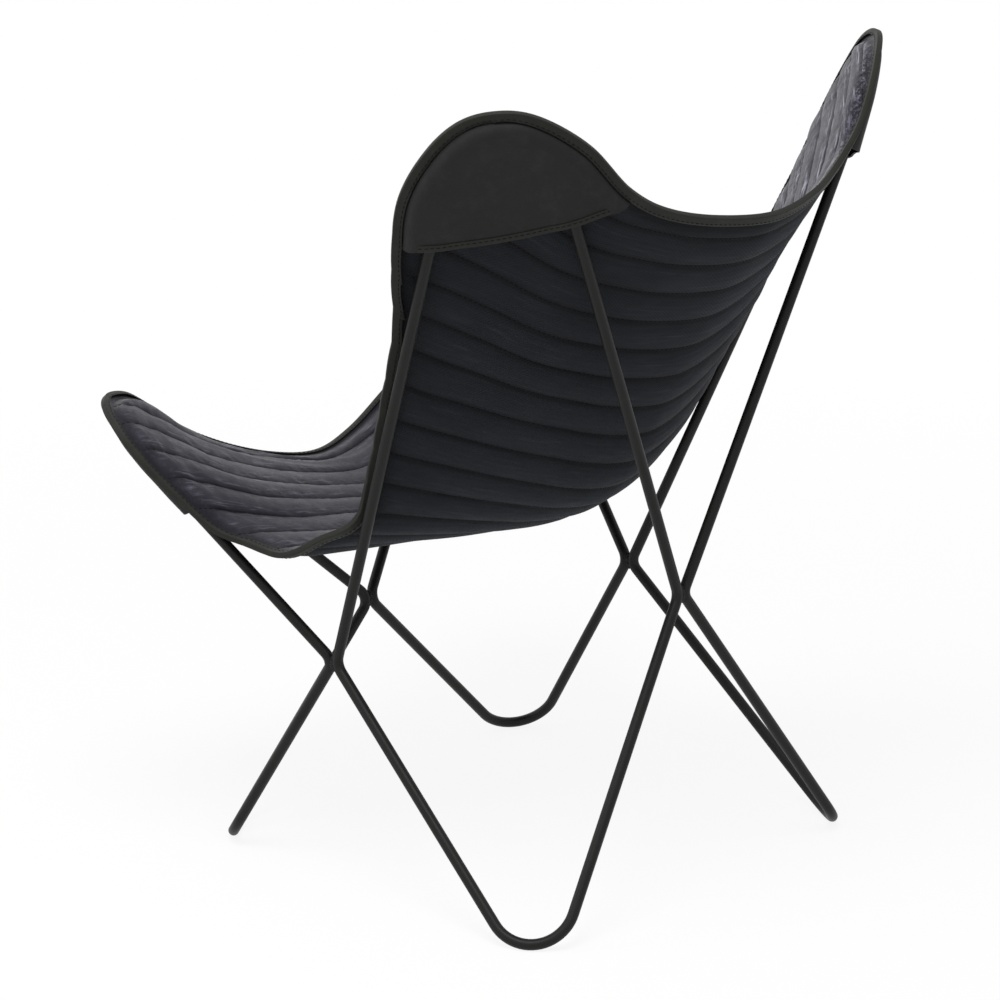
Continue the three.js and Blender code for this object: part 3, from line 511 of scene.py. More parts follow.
def loop_bends(sizes, rear):
    """Bends of the loop on the sitter's left: peak, side weld, foot, centre weld. A bend that
    touches something has the direction to it, and its centre line's level in that direction."""
    radius, touch_gap = sizes.rod / 2, CLEARANCE / 2
    to_side = np.array([0, -1.0 if rear else 1.0, 0])
    if rear:
        peak = (sizes.span, sizes.back_depth, sizes.back_height)
        foot = (sizes.rear_foot_span, sizes.rear_foot_depth, 0)
        centre = (0, sizes.rear_weld_depth, sizes.rear_weld_height)
    else:
        peak = (sizes.span, -sizes.front_depth, sizes.front_height)
        foot = (sizes.front_foot_span, -sizes.front_foot_depth, 0)
        centre = (0, -sizes.front_weld_depth, sizes.front_weld_height)
    side = (sizes.side_weld_span, sizes.side_weld_depth, sizes.side_weld_height)
    side_level = to_side[1] * sizes.side_weld_depth - radius - touch_gap
    bends = [
        (peak, sizes.back_bend if rear else sizes.front_bend, PEAK_STEPS, None, 0),
        (side, sizes.waist_bend, WAIST_STEPS, to_side, side_level),
        (foot, sizes.foot_bend, FOOT_STEPS, np.array([0, 0, -1.0]), FOOT_FLAT - radius),
        (centre, sizes.waist_bend, WAIST_STEPS, np.array([-1.0, 0, 0]), -radius - touch_gap),
    ]
    names = ("place", "radius", "steps", "touch", "level")
    return [SimpleNamespace(**dict(zip(names, (np.array(b[0], float), *b[1:])))) for b in bends]


def corner_of(corners, i):
    """Directions from a corner to the one before and the one after, the direction between them,
    and half the angle."""
    before = unit(corners[i - 1] - corners[i])
    after = unit(corners[(i + 1) % len(corners)] - corners[i])
    return before, after, unit(before + after), between(before, after) / 2


def loop_corners(bends):
    """Corners where the straight runs would meet, moved until each touching bend is at its level."""
    corners = [bend.place.copy() for bend in bends]
    for _ in range(CORNER_PASSES):
        moved = []
        for i, bend in enumerate(bends):
            before, after, inward, half = corner_of(corners, i)
            centre = bend.place + inward * bend.radius
            if bend.touch is not None:
                in_plane = flatten(bend.touch, unit(np.cross(before, after)))
                reach = centre @ bend.touch + bend.radius * np.linalg.norm(in_plane)
                centre = centre + bend.touch * (bend.level - reach)
            moved.append(centre - inward * bend.radius / math.sin(half))
        corners = moved
    return corners


def loop_arcs(bends):
    """Each bend as its centre, its axes and its turn."""
    corners, arcs = loop_corners(bends), []
    for i, bend in enumerate(bends):
        before, after, inward, half = corner_of(corners, i)
        centre = corners[i] + inward * bend.radius / math.sin(half)
        start = corners[i] + before * bend.radius / math.tan(half)
        arcs.append(SimpleNamespace(
            centre=centre, radius=bend.radius, steps=bend.steps, inward=inward,
            out=unit(start - centre), axis=unit(np.cross(after, before)),
            turn=math.pi - 2 * half))
    return arcs


def loop_rings(arcs, radius):
    """Rings of points round the rod, all the way along a loop."""
    plane = unit(sum(arc.axis for arc in arcs))
    angles = np.linspace(0, 2 * math.pi, ROD_SIDES, endpoint=False)[:, None]
    rings = []
    for arc in arcs:
        for turn in np.linspace(0, arc.turn, arc.steps + 1):
            out = arc.out * math.cos(turn) + np.cross(arc.axis, arc.out) * math.sin(turn)
            along = np.cross(arc.axis, out)
            side = unit(flatten(plane, along))
            other = np.cross(along, side)
            ring = side * np.cos(angles) + other * np.sin(angles)
            rings.append(arc.centre + out * arc.radius + ring * radius)
    return np.array(rings)


def peak_frame(arc, rear):
    """A peak's bend: centre, axis, direction towards the edge between the two peaks, the normal on
    the sitter's side, half its turn, and the side on which the pocket pulls hardest: 1 is towards
    that edge."""
    axis, normal = -arc.inward, arc.axis
    if normal @ (-1, -1 if rear else 1, 0) < 0:
        normal = -normal
    to_edge = np.cross(axis, normal)
    if to_edge[0] > 0:
        to_edge = -to_edge
    return SimpleNamespace(centre=arc.centre, radius=arc.radius, axis=axis, to_edge=to_edge,
                           normal=normal, spread=arc.turn / 2, tight_side=1 if rear else -1)


# Sling surface

def plain(group):
    """A property group's values as pairs that can be kept as a key."""
    return tuple((name, getattr(group, name)) for name in group.__annotations__)


def sling_form(scene):
    """The sling's main lines and sizes, from the sizes in the panel."""
    return cached_form(plain(scene.chair_frame), plain(scene.chair_sling))


@functools.lru_cache(maxsize=1)
def cached_form(frame_values, sling_values):
    """The sling's main lines and sizes, worked out once for the same values."""
    f, s = SimpleNamespace(**dict(frame_values)), SimpleNamespace(**dict(sling_values))
    radius = f.rod / 2
    border = s.binding_width + s.binding_lap
    lift = radius + s.pinch / 2 + s.back_crown + 2 * CLEARANCE + s.canvas
    margin = border + POCKET_RUN + ROD_ROOM
    arcs = loop_arcs(loop_bends(f, True)), loop_arcs(loop_bends(f, False))
    peaks = peak_frame(arcs[0][0], True), peak_frame(arcs[1][0], False)

    def share_point(entry):
        """A place from its shares of the span, the depth and the rise."""
        x, y, z = entry
        depth = f.back_depth if y > 0 else f.front_depth
        height = f.back_height if y > 0 else f.front_height
        return np.array([x * f.span, y * depth, s.seat + z * (height - s.seat)])

    def beside_rod(entry):
        """A place beside the straight front leg of the rear loop."""
        outwards, forwards, height = entry
        z = share_point((0, 1, height))[2]
        rise = (z - f.side_weld_height) / (f.back_height - f.side_weld_height)
        x = f.side_weld_span + (f.span - f.side_weld_span) * rise + outwards * f.span
        y = f.side_weld_depth + (f.back_depth - f.side_weld_depth) * rise
        return np.array([x, y - forwards * f.back_depth, z])

    def lobe_points(peak, entries):
        """Outline points round a peak, by their degrees."""
        points = {}
        for degrees, share in entries:
            reach = peak.radius * (1 + share) + radius + margin
            turn = math.radians(degrees)
            points[degrees] = (peak.centre + peak.axis * reach * math.cos(turn)
                               + peak.to_edge * reach * math.sin(turn) + peak.normal * lift)
        return points

    back_lobe, front_lobe = lobe_points(peaks[0], BACK_LOBE), lobe_points(peaks[1], FRONT_LOBE)
    inner = lambda lobe: [lobe[d] for d in sorted(lobe, reverse=True) if d >= 0]
    outer = lambda lobe: [lobe[d] for d in sorted(lobe, reverse=True) if d <= 0]
    back_start, front_start = share_point(BACK_EDGE[0]), share_point(FRONT_EDGE[0])
    other_side = np.array([-1, 1, 1])
    back_edge = Line([*map(share_point, BACK_EDGE), *inner(back_lobe)],
                     share_point(BACK_EDGE[1]) * other_side, outer(back_lobe)[1])
    front_edge = Line([*map(share_point, FRONT_EDGE), *inner(front_lobe)],
                      share_point(FRONT_EDGE[1]) * other_side, outer(front_lobe)[1])
    centre = Line([back_start, *map(share_point, CENTRE_LINE), front_start])
    side_edge = Line([*outer(back_lobe), *map(beside_rod, REAR_SIDE_EDGE),
                      *map(share_point, FRONT_SIDE_EDGE), *outer(front_lobe)[::-1]],
                     inner(back_lobe)[-2], inner(front_lobe)[-2])
    steps = np.linspace(0, 1, OUTLINE_STEPS + 1)
    outline = np.vstack([line.at(steps) for line in (back_edge, side_edge, front_edge)])
    return SimpleNamespace(
        back_edge=back_edge, front_edge=front_edge, centre=centre, side_edge=side_edge,
        outline=outline, peaks=peaks, border=border, lift=lift, sizes=s, rod=radius,
        slope=border + POCKET_RUN, band=1 - (border + s.band) / f.span, span=f.span,
        channel=centre.length / (WHOLE_CHANNELS + 2 * EDGE_PART))


def surface(form, across, along):
    """Points of the middle surface on the sitter's left: across 0 is the centre line and 1 the
    side edge, along 0 is the back edge and 1 the front edge."""
    across, along = np.clip(across, 0, 1), np.clip(along, 0, 1)
    bend = np.stack([across, across ** SAG_POWER, across ** SAG_POWER], -1)
    mix = lambda start, end: start + (end - start) * bend
    point = mix(form.centre.at(along), form.side_edge.at(along))
    back_own = form.back_edge.at(across) - mix(form.centre.at(0), form.side_edge.at(0))
    front_own = form.front_edge.at(across) - mix(form.centre.at(1), form.side_edge.at(1))
    back_fade = 1 - smooth(along, 0, BACK_EDGE_REACH)
    front_fade = 1 - smooth(1 - along, 0, FRONT_EDGE_REACH)
    return point + back_own * back_fade[..., None] + front_own * front_fade[..., None]


def back_edge_seam(across):
    """Seam number where a column of the quilt meets the back edge."""
    share = np.maximum(0, across - LOBE_START) / (1 - LOBE_START)
    return -EDGE_PART - BACK_LOBE_CHANNELS * share ** LOBE_POWER


def front_edge_seam(across):
    """Seam number where a column meets the front edge."""
    return WHOLE_CHANNELS + EDGE_PART + FRONT_LOBE_CHANNELS * across ** 2


def slant(form, across, front):
    """Sine of the angle at which a column meets an end edge, kept over a floor."""
    edge = form.front_edge if front else form.back_edge
    end, inside = (1, 1 - NORMAL_STEP) if front else (0, NORMAL_STEP)
    at = lambda along: surface(form, across, np.full_like(across, along))
    column = unit(at(inside) - at(end))
    crossing = np.cross(column, edge.direction(across))
    return np.maximum(np.linalg.norm(crossing, axis=-1), LEAST_SLANT)


def column_ends(form, across):
    """Seam numbers at a column's ends: back edge, inside of its border, and the same in front."""
    flat = form.border / form.channel
    first, last = back_edge_seam(across), front_edge_seam(across)
    return first, first + flat / slant(form, across, False), \
        last - flat / slant(form, across, True), last


def quilt_points(form, across, seam, side):
    """Vertices of the quilt on one side, with the crown that its channels have there."""
    first, inner_first, inner_last, last = column_ends(form, across)
    inside = smooth(np.minimum(seam - inner_first, inner_last - seam), 0, WANDER_FADE)
    inside = inside * smooth(form.band - across, 0, 0.12)
    # A hand-guided machine wanders a little from the straight seam.
    wander = SEAM_WANDER * inside * noise(side * across * 3.1 + 9, seam * 0.31 + 5, 11)
    # Beside a lobe the seams keep their direction, so their ends lie nearer to the tip.
    toward_tip = (BACK_TIP_PULL * window(seam, *BACK_PULL_SEAMS)
                  - FRONT_TIP_PULL * window(seam, *FRONT_PULL_SEAMS))
    wander = wander - toward_tip * np.clip((across - PULL_START) / (1 - PULL_START), 0, 1) ** 2
    along = (seam + wander - first) / (last - first)
    # Each seam draws the side edges in a little.
    across = across * (1 - SEAM_DRAW * (1 - np.abs(np.sin(math.pi * seam)))
                       * smooth(across, DRAW_START, 1) * smooth(seam, 2, 5)
                       * smooth(last - seam, 0.3, 3))
    place = surface(form, across, along)
    band = across >= form.band
    start = surface(form, np.where(band, form.band, across - NORMAL_STEP), along)
    end = surface(form, np.where(band, 1.0, across + NORMAL_STEP), along)
    across_step = np.where((across < NORMAL_STEP)[:, None], (1.0, 0, 0), end - start)
    along_step = (surface(form, across, along + NORMAL_STEP)
                  - surface(form, across, along - NORMAL_STEP))
    normal = unit(np.cross(along_step, across_step))
    from_edge = np.concatenate([
        np.sqrt(((part[:, None] - form.outline[None]) ** 2).sum(-1).min(1))
        for part in np.array_split(place, len(place) // CHUNK + 1)])
    rise = smooth(from_edge, form.border, form.border + form.sizes.crown_fade)
    crown = rise * np.abs(np.sin(math.pi * seam)) ** CROWN_POWER
    inner_seam = np.clip(seam, inner_first, inner_last)
    inner_across = np.minimum(across, form.band)
    inward = surface(form, inner_across, (inner_seam - first) / (last - first)) - place
    place, turn = rested(form, place, crown, from_edge), np.array([side, 1, 1])
    return [place * turn, normal * turn, inward * turn, crown, seam, from_edge, side * across]


def rested(form, place, crown, from_edge):
    """Places lifted until the quilt lies on the rods round the peaks, and drawn back round them
    beside its edge."""
    tuck = EDGE_TUCK * (1 - smooth(from_edge, TUCK_FROM, TUCK_TO))
    need = form.lift - form.sizes.back_crown * (1 - crown)
    for peak in form.peaks:
        offset = place - peak.centre
        reach = PEAK_REACH * peak.radius
        beyond = np.maximum(-offset @ peak.axis, np.abs(offset @ peak.to_edge)) - reach
        sunk = np.maximum(need - offset @ peak.normal, 0) * (1 - smooth(beyond, 0, LIFT_FADE))
        round_rod = 1 - smooth(np.linalg.norm(offset, axis=1), TUCK_NEAR, TUCK_FAR)
        tight = smooth(offset @ peak.to_edge * peak.tight_side, -TIGHT_RUN, 0)
        round_rod = round_rod * (LESS_TUCK + (1 - LESS_TUCK) * tight)
        place = place + peak.normal * (sunk - tuck * round_rod)[:, None]
    return place


def zipped(inner, outer, seam, side):
    """Triangles between two chains of vertices that run the same way, paired by seam number."""
    triangles, i, j = [], 0, 0
    while i < len(inner) - 1 or j < len(outer) - 1:
        inner_next = seam[inner[i + 1]] if i < len(inner) - 1 else math.inf
        outer_next = seam[outer[j + 1]] if j < len(outer) - 1 else math.inf
        if inner_next < outer_next:
            triangles.append([inner[i], inner[i + 1], outer[j]])
            i += 1
        else:
            triangles.append([inner[i], outer[j + 1], outer[j]])
            j += 1
    return triangles if side > 0 else [triangle[::-1] for triangle in triangles]


def quilt_columns(form, columns, row_places):
    """Places across the quilt's left half of its columns, and each one's vertices as seam
    numbers."""
    shares = np.concatenate([np.linspace(0, form.band, columns),
                             np.linspace(form.band, 1, BAND_COLUMNS + 1)[1:]])
    ends = np.stack(column_ends(form, shares), 1)
    chains = []
    for share, (first, inner_first, inner_last, last) in zip(shares, ends):
        whole = np.arange(math.floor(inner_first), math.ceil(inner_last) + 1)
        rows = np.add.outer(whole, row_places).ravel()
        rows = rows[(rows > inner_first + LEAST_ROW) & (rows < inner_last - LEAST_ROW)]
        chains.append(np.concatenate([[first, inner_first], rows, [inner_last, last]]))
    # The side edge's own line goes on round the tips in short steps.
    first, inner_first, inner_last, last = ends[-1]
    chains[-1] = np.concatenate([np.linspace(first, inner_first, EDGE_STEPS)[:-1], chains[-1][1:-1],
                                 np.linspace(inner_last, last, EDGE_STEPS)[1:]])
    return shares, chains


def quilt_triangles(ids, seam):
    """Triangles between neighbouring columns of the whole quilt, with the borders' own strips."""
    middle, triangles = (len(ids) - 1) // 2, []
    for i in range(len(ids) - 1):
        side = -1 if i < middle else 1
        inner, outer = (ids[i], ids[i + 1]) if side > 0 else (ids[i + 1], ids[i])
        if i in (0, len(ids) - 2):
            triangles += zipped(inner, outer, seam, side)
            continue
        triangles += zipped(inner[1:-1], outer[1:-1], seam, side)
        for a, b, c, d, turn in ((inner[0], inner[1], outer[0], outer[1], side),
                                 (inner[-1], inner[-2], outer[-1], outer[-2], -side)):
            strip = [[a, b, c], [b, d, c]]
            triangles += strip if turn > 0 else [triangle[::-1] for triangle in strip]
    return triangles


@functools.lru_cache(maxsize=2)
def cached_quilt(frame_values, sling_values, columns, row_places):
    """The quilt's vertices, its triangles on the sitter's side and its outline."""
    form = cached_form(frame_values, sling_values)
    shares, chains = quilt_columns(form, columns, row_places)
    parts, ids, count = [], [], 0
    for side, order in ((-1, list(range(len(shares)))[::-1]), (1, range(1, len(shares)))):
        seam = np.concatenate([chains[n] for n in order])
        across = np.concatenate([np.full(len(chains[n]), shares[n]) for n in order])
        parts.append(quilt_points(form, across, seam, side))
        for n in order:
            ids.append(list(range(count, count + len(chains[n]))))
            count += len(chains[n])
    names = ("place", "normal", "inward", "crown", "seam", "from_edge", "across")
    quilt = SimpleNamespace(**{name: np.concatenate([part[k] for part in parts])
                               for k, name in enumerate(names)})
    quilt.triangles = quilt_triangles(ids, quilt.seam.tolist())
    quilt.outline = [*(column[0] for column in ids), *ids[-1][1:],
                     *(column[-1] for column in ids[-2::-1]), *ids[0][-2:0:-1]]
    quilt.tips = ids[-1][0], ids[-1][-1]
    quilt.run = quilt.across * form.span
    quilt.flat = np.stack([quilt.run, quilt.seam * form.channel], 1)
    return quilt


def quilt_of(scene, columns, rows):
    """The quilt at a fineness, from the sizes in the panel."""
    return cached_quilt(plain(scene.chair_frame), plain(scene.chair_sling), columns, rows)


def levels(form, from_edge=0.0):
    """Heights of the layers over the quilt's middle surface in a seam, from the face down. The
    binding presses them together at the edge."""
    s = form.sizes
    press = 1 - smooth(np.asarray(from_edge, float), PRESS_FROM, PRESS_TO)
    wadding_bottom = -s.pinch / 2 + BACK_PRESS * press
    return SimpleNamespace(
        face_top=s.pinch / 2 + CLEARANCE + s.face - FACE_PRESS * press,
        wadding_bottom=wadding_bottom, canvas_top=wadding_bottom - CLEARANCE,
        canvas_bottom=wadding_bottom - CLEARANCE - s.canvas)


def quilt_border(quilt):
    """The quilt's outline with its outward direction, and a direction along the quilt's own rows
    or columns that goes inwards by one for each one of its length across the edge."""
    place, normal = quilt.place[quilt.outline], quilt.normal[quilt.outline]
    along = np.roll(place, -1, 0) - np.roll(place, 1, 0)
    outward = unit(np.cross(normal, along))
    row = unit(flatten(quilt.inward[quilt.outline], normal))
    row = row / np.maximum(-dot(row, outward), LEAST_SLANT)[:, None]
    return SimpleNamespace(place=place, normal=normal, outward=outward, inward=row)


def from_peaks(form, quilt):
    """Distances of the quilt's vertices from the back and the front peak on their own side."""
    place = quilt.place * np.stack([np.sign(quilt.run), *np.ones((2, len(quilt.run)))], 1)
    return [np.linalg.norm(place - peak.centre, axis=1) for peak in form.peaks]


def face_relief(form, quilt):
    """Height of the face leather's own creases and puckers over its plain channels."""
    run, seam, crown = quilt.run, quilt.seam, quilt.crown
    to_seam = np.abs(seam - np.round(seam)) * form.channel
    channel = np.floor(seam)
    fade = smooth(quilt.from_edge, form.border, form.border + RELIEF_FADE)
    fuller = FULLER * crown * noise(run / FULLER_WIDTH, channel * 5.3 + 2, 21)
    dimple = DIMPLE * crown * noise(run / DIMPLE_WIDTH, seam * 2.3, 22)
    # Sharp little ridges stand off the seams, at uneven distances.
    uneven = 0.35 * noise(run / 0.05, seam, 23)
    ridge = 1 - 2 * np.abs(noise(run / PUCKER_WIDTH + uneven, seam * 0.9 + channel * 3.7, 24))
    pucker = PUCKER * ridge * np.exp(-((to_seam - PUCKER_PLACE) / PUCKER_PLACE) ** 2)
    # Long soft folds lie beside the side edges, mostly where the sling bends into its lobes.
    beside = window(quilt.from_edge, *FOLD_PLACE)
    lobe = 0.35 + 0.65 * (1 - smooth(seam, 3.5, 11)) + 0.5 * smooth(seam, 14.5, 19)
    uneven = 0.8 * noise(seam * 0.5, run * 8, 25)
    fold = 1 - 2.2 * np.abs(noise(quilt.from_edge / FOLD_WIDTH + uneven,
                                  seam * 0.28 + np.sign(run) * 3.3, 26))
    return fade * (fuller + dimple + pucker + FOLD * beside * lobe * fold)


# Sewing thread

def stitches(points, normals, pitch, thickness):
    """Stitches along a run of points on the cloth, as small rounded lengths of thread that are
    half sunk into it. Returns their points and faces."""
    lengths = lengths_along(points)
    count = int(lengths[-1] / pitch)
    if count < 1:
        return np.zeros((0, 3)), []
    middle = (np.arange(count) + 0.5) * lengths[-1] / count
    half = STITCH_HALF * lengths[-1] / count
    start, end = walk(points, lengths, middle - half), walk(points, lengths, middle + half)
    normal = unit(walk(normals, lengths, middle))
    along = unit(end - start)
    side = np.cross(along, normal)
    angles = np.linspace(0, 2 * math.pi, STITCH_SIDES, endpoint=False)
    body = []
    for share, lift, girth in STITCH_PROFILE:
        centre = start + (end - start) * share + normal * lift * thickness / 2
        for angle in angles:
            spoke = side * math.cos(angle) + normal * math.sin(angle)
            body.append(centre + spoke * girth * thickness / 2)
    body = np.stack(body, 1)
    faces, sides, size = [], STITCH_SIDES, body.shape[1]
    for r in range(0, size - sides, sides):
        for a in range(sides):
            b = (a + 1) % sides
            faces.append([r + a, r + b, r + sides + b, r + sides + a])
    faces += [list(range(sides))[::-1], list(range(size - sides, size))]
    every = [[n + k * size for n in face] for k in range(count) for face in faces]
    return body.reshape(-1, 3), every


def add_stitching(name, runs, scene, material):
    """One piece of thread for several runs of (points, normals)."""
    pitch, thickness = scene.chair_sling.stitch, scene.chair_sling.thread
    points, faces, count = [], [], 0
    for places, normals in runs:
        body, sides = stitches(places, normals, pitch, thickness)
        points.append(body)
        faces += [[n + count for n in face] for face in sides]
        count += len(body)
    return add_piece(name, np.vstack(points), faces, material)


def seam_runs(quilt, surface_points, sign):
    """The runs of points in the quilt's seams, on the face or on the back."""
    runs = []
    for number in range(math.ceil(quilt.seam.min()), math.floor(quilt.seam.max()) + 1):
        on_seam = np.isclose(quilt.seam, number, rtol=0, atol=1e-6)
        ids = np.flatnonzero(on_seam & (quilt.from_edge > SEAM_INSET))
        ids = ids[np.argsort(quilt.across[ids])]
        gaps = np.linalg.norm(np.diff(quilt.place[ids], axis=0), axis=1) > RUN_GAP
        for part in np.split(ids, np.flatnonzero(gaps) + 1):
            if len(part) >= LEAST_RUN:
                runs.append((surface_points[part], sign * quilt.normal[part]))
    return runs


# Materials

def add_node(tree, kind, inputs=(), **settings):
    """Adds a node with its settings and links. Inputs go by name, or else in the node's order.
    Each is a value, another node's output, or a node, which stands for its first output."""
    node = tree.nodes.new("ShaderNode" + kind)
    for name, value in settings.items():
        setattr(node, name, value)
    if isinstance(inputs, dict):
        pairs = [(node.inputs[name], value) for name, value in inputs.items()]
    else:
        pairs = list(zip([socket for socket in node.inputs if socket.enabled], inputs))
    for socket, value in pairs:
        if isinstance(value, bpy.types.Node):
            value = next(output for output in value.outputs if output.enabled)
        if isinstance(value, bpy.types.NodeSocket):
            tree.links.new(value, socket)
        elif socket.type == "RGBA":
            socket.default_value = (*value, 1)
        else:
            socket.default_value = value
    return node


def new_material(name):
    """An empty material and its node tree."""
    material = bpy.data.materials.new(name)
    material.use_nodes = True
    material.node_tree.nodes.clear()
    return material, material.node_tree


def shade(colour, factor, lift=0.0):
    """A colour made darker or lighter by a factor, and paler by lift."""
    return tuple(c * factor + lift for c in colour)


def powder_coated_steel(name, colour, ripples=False):
    """Steel rod under a baked satin powder coat: fine orange peel, a soft broad highlight, and a
    little grey dust and rubbing."""
    material, tree = new_material(name)
    place = add_node(tree, "TexCoord").outputs["Object"]
    cloud = add_node(tree, "TexNoise", {"Vector": place, "Scale": 1 / (60 * MM), "Detail": 3})
    dust = add_node(tree, "TexNoise", {
        "Vector": place, "Scale": 1 / (12 * MM), "Detail": 4, "Roughness": 0.65})
    dust = add_node(tree, "MapRange", [dust, 0.56, 0.78, 0, 0.35])
    base = add_node(tree, "Mix", [cloud, colour, shade(colour, 1.45, 0.004)], data_type="RGBA")
    base = add_node(tree, "Mix", [dust, base, shade(colour, 2.1, 0.006)], data_type="RGBA")
    # Real orange peel is under a millimetre. It is drawn 2 mm wide so that it shows.
    peel = add_node(tree, "TexNoise", {"Vector": place, "Scale": 1 / (2 * MM), "Detail": 1})
    relief = add_node(tree, "Bump", {"Height": peel, "Distance": 0.05 * MM})
    if ripples:
        # Weld ripples, one each 1.6 mm along the bead
        wave = add_node(tree, "TexWave", {
            "Vector": place, "Scale": WAVE_LENGTH / (1.6 * MM), "Distortion": 1.2,
            "Detail": 1}, bands_direction="Z")
        relief = add_node(tree, "Bump", {
            "Height": wave.outputs["Fac"], "Distance": 0.25 * MM, "Normal": relief})
    surface = add_node(tree, "BsdfPrincipled", {
        "Base Color": base, "Metallic": 0, "IOR": 1.5, "Specular IOR Level": 0.2,
        "Roughness": add_node(tree, "MapRange", [cloud, 0.3, 0.7, 0.42, 0.52]),
        "Normal": relief})
    add_node(tree, "OutputMaterial", [surface])
    return material


def waxed_leather(name, low, high, wax):
    """Drum-dyed cowhide with a waxed finish: pebbled grain with fine creases, lighter on the
    channels' crowns, partly by pull-up where it is stretched over the wadding and partly as painted
    light, with painted shade in the seams, and glossy streaks where bends have moved its wax, whose
    pale colour is partly the moved wax and partly a painted highlight."""
    material, tree = new_material(name)
    place = add_node(tree, "TexCoord").outputs["Object"]
    cloth = add_node(tree, "UVMap", uv_map="cloth")
    crown, bent, ridge = (
        add_node(tree, "Attribute", attribute_name=title).outputs["Fac"]
        for title in ("crown", "bent", "ridge"))
    cloud = add_node(tree, "TexNoise", {
        "Vector": place, "Scale": 1 / (50 * MM), "Detail": 4, "Roughness": 0.6})
    patch = add_node(tree, "TexNoise", {
        "Vector": place, "Scale": 1 / (11 * MM), "Detail": 3, "Roughness": 0.6})
    # Streaks of wax are 3.2 mm wide and run along the channels, beside the seams, on the crowns'
    # flanks. They are glossier, and their pale colour is partly the moved wax and partly a painted
    # highlight.
    lengthened = add_node(tree, "VectorMath", [cloth, STREAK_STRETCH], operation="MULTIPLY")
    streak = add_node(tree, "TexNoise", {
        "Vector": lengthened, "Scale": 1 / (3.2 * MM), "Detail": 4, "Roughness": 0.62})
    drift = add_node(tree, "TexNoise", {"Vector": place, "Scale": 1 / (30 * MM)})
    waxed = add_node(tree, "MapRange", [streak, 0.49, 0.63])
    for share in (add_node(tree, "MapRange", [drift, 0.36, 0.56]),
                  add_node(tree, "MapRange", [crown, 0.2, 0.45]),
                  add_node(tree, "MapRange", [crown, 0.65, 0.95, 1, 0.12]), bent):
        waxed = add_node(tree, "Math", [waxed, share], operation="MULTIPLY")
    # On the bend round a rod the wax is scuffed all over, and painted pale there, partly as a
    # highlight along that bend.
    scuffs = add_node(tree, "TexNoise", {
        "Vector": place, "Scale": 1 / (4.5 * MM), "Detail": 4, "Roughness": 0.7})
    scuffs = add_node(tree, "MapRange", [scuffs, 0.47, 0.68, 0, 0.8])
    scuffs = add_node(tree, "Math", [ridge, scuffs], operation="MULTIPLY")
    waxed = add_node(tree, "Math", [waxed, scuffs], operation="MAXIMUM")
    # The crowns are lighter, partly as pull-up of the stretched leather and partly as painted light,
    # over a random tone.
    crown_light_and_tone = add_node(tree, "Math", [cloud, 0.75], operation="MULTIPLY")
    crown_light_and_tone = add_node(tree, "Math", [crown, 0.55, crown_light_and_tone], operation="MULTIPLY_ADD")
    crown_light_and_tone = add_node(tree, "MapRange", [crown_light_and_tone, 0.25, 1.05])
    base = add_node(tree, "Mix", [crown_light_and_tone, low, high], data_type="RGBA")
    # Painted shade darkens the seams. The blots are the hide's own darker patches.
    painted_seam_shade = add_node(tree, "MapRange", [crown, 0.05, 0.4, 0.65, 0])
    blot = add_node(tree, "MapRange", [patch, 0.35, 0.75, 0, 0.22])
    # Pale moved wax, partly a painted highlight
    pale = add_node(tree, "Math", [waxed, 0.7], operation="MULTIPLY")
    for share, colour in ((painted_seam_shade, shade(low, 0.35)), (blot, shade(low, 0.62)), (pale, wax)):
        base = add_node(tree, "Mix", [share, base, colour], data_type="RGBA")
    crease = add_node(tree, "TexNoise", {
        "Vector": place, "Scale": 1 / (6 * MM), "Detail": 5, "Roughness": 0.62})
    # Hide grain is near 0.8 mm. It is drawn 2 mm wide so that it shows.
    grain = add_node(tree, "TexVoronoi", {"Vector": place, "Scale": 1 / (2 * MM)},
                     feature="DISTANCE_TO_EDGE")
    grain = add_node(tree, "MapRange", [grain, 0, 0.25])
    relief = add_node(tree, "Bump", {"Height": crease, "Distance": 0.4 * MM})
    relief = add_node(tree, "Bump", {"Height": grain, "Distance": 0.12 * MM, "Normal": relief})
    rough = add_node(tree, "MapRange", [patch, 0.3, 0.7, 0.36, 0.5])
    surface = add_node(tree, "BsdfPrincipled", {
        "Base Color": base, "Metallic": 0, "IOR": 1.5, "Normal": relief,
        "Specular IOR Level": add_node(tree, "MapRange", [waxed, 0, 1, 0.13, 0.7]),
        "Specular Tint": linear("#dedaf4"),
        "Sheen Weight": 0.05, "Sheen Roughness": 0.35, "Sheen Tint": linear("#c9c6e4"),
        "Roughness": add_node(tree, "Math", [waxed, -0.12, rough], operation="MULTIPLY_ADD")})
    add_node(tree, "OutputMaterial", [surface])
    return material


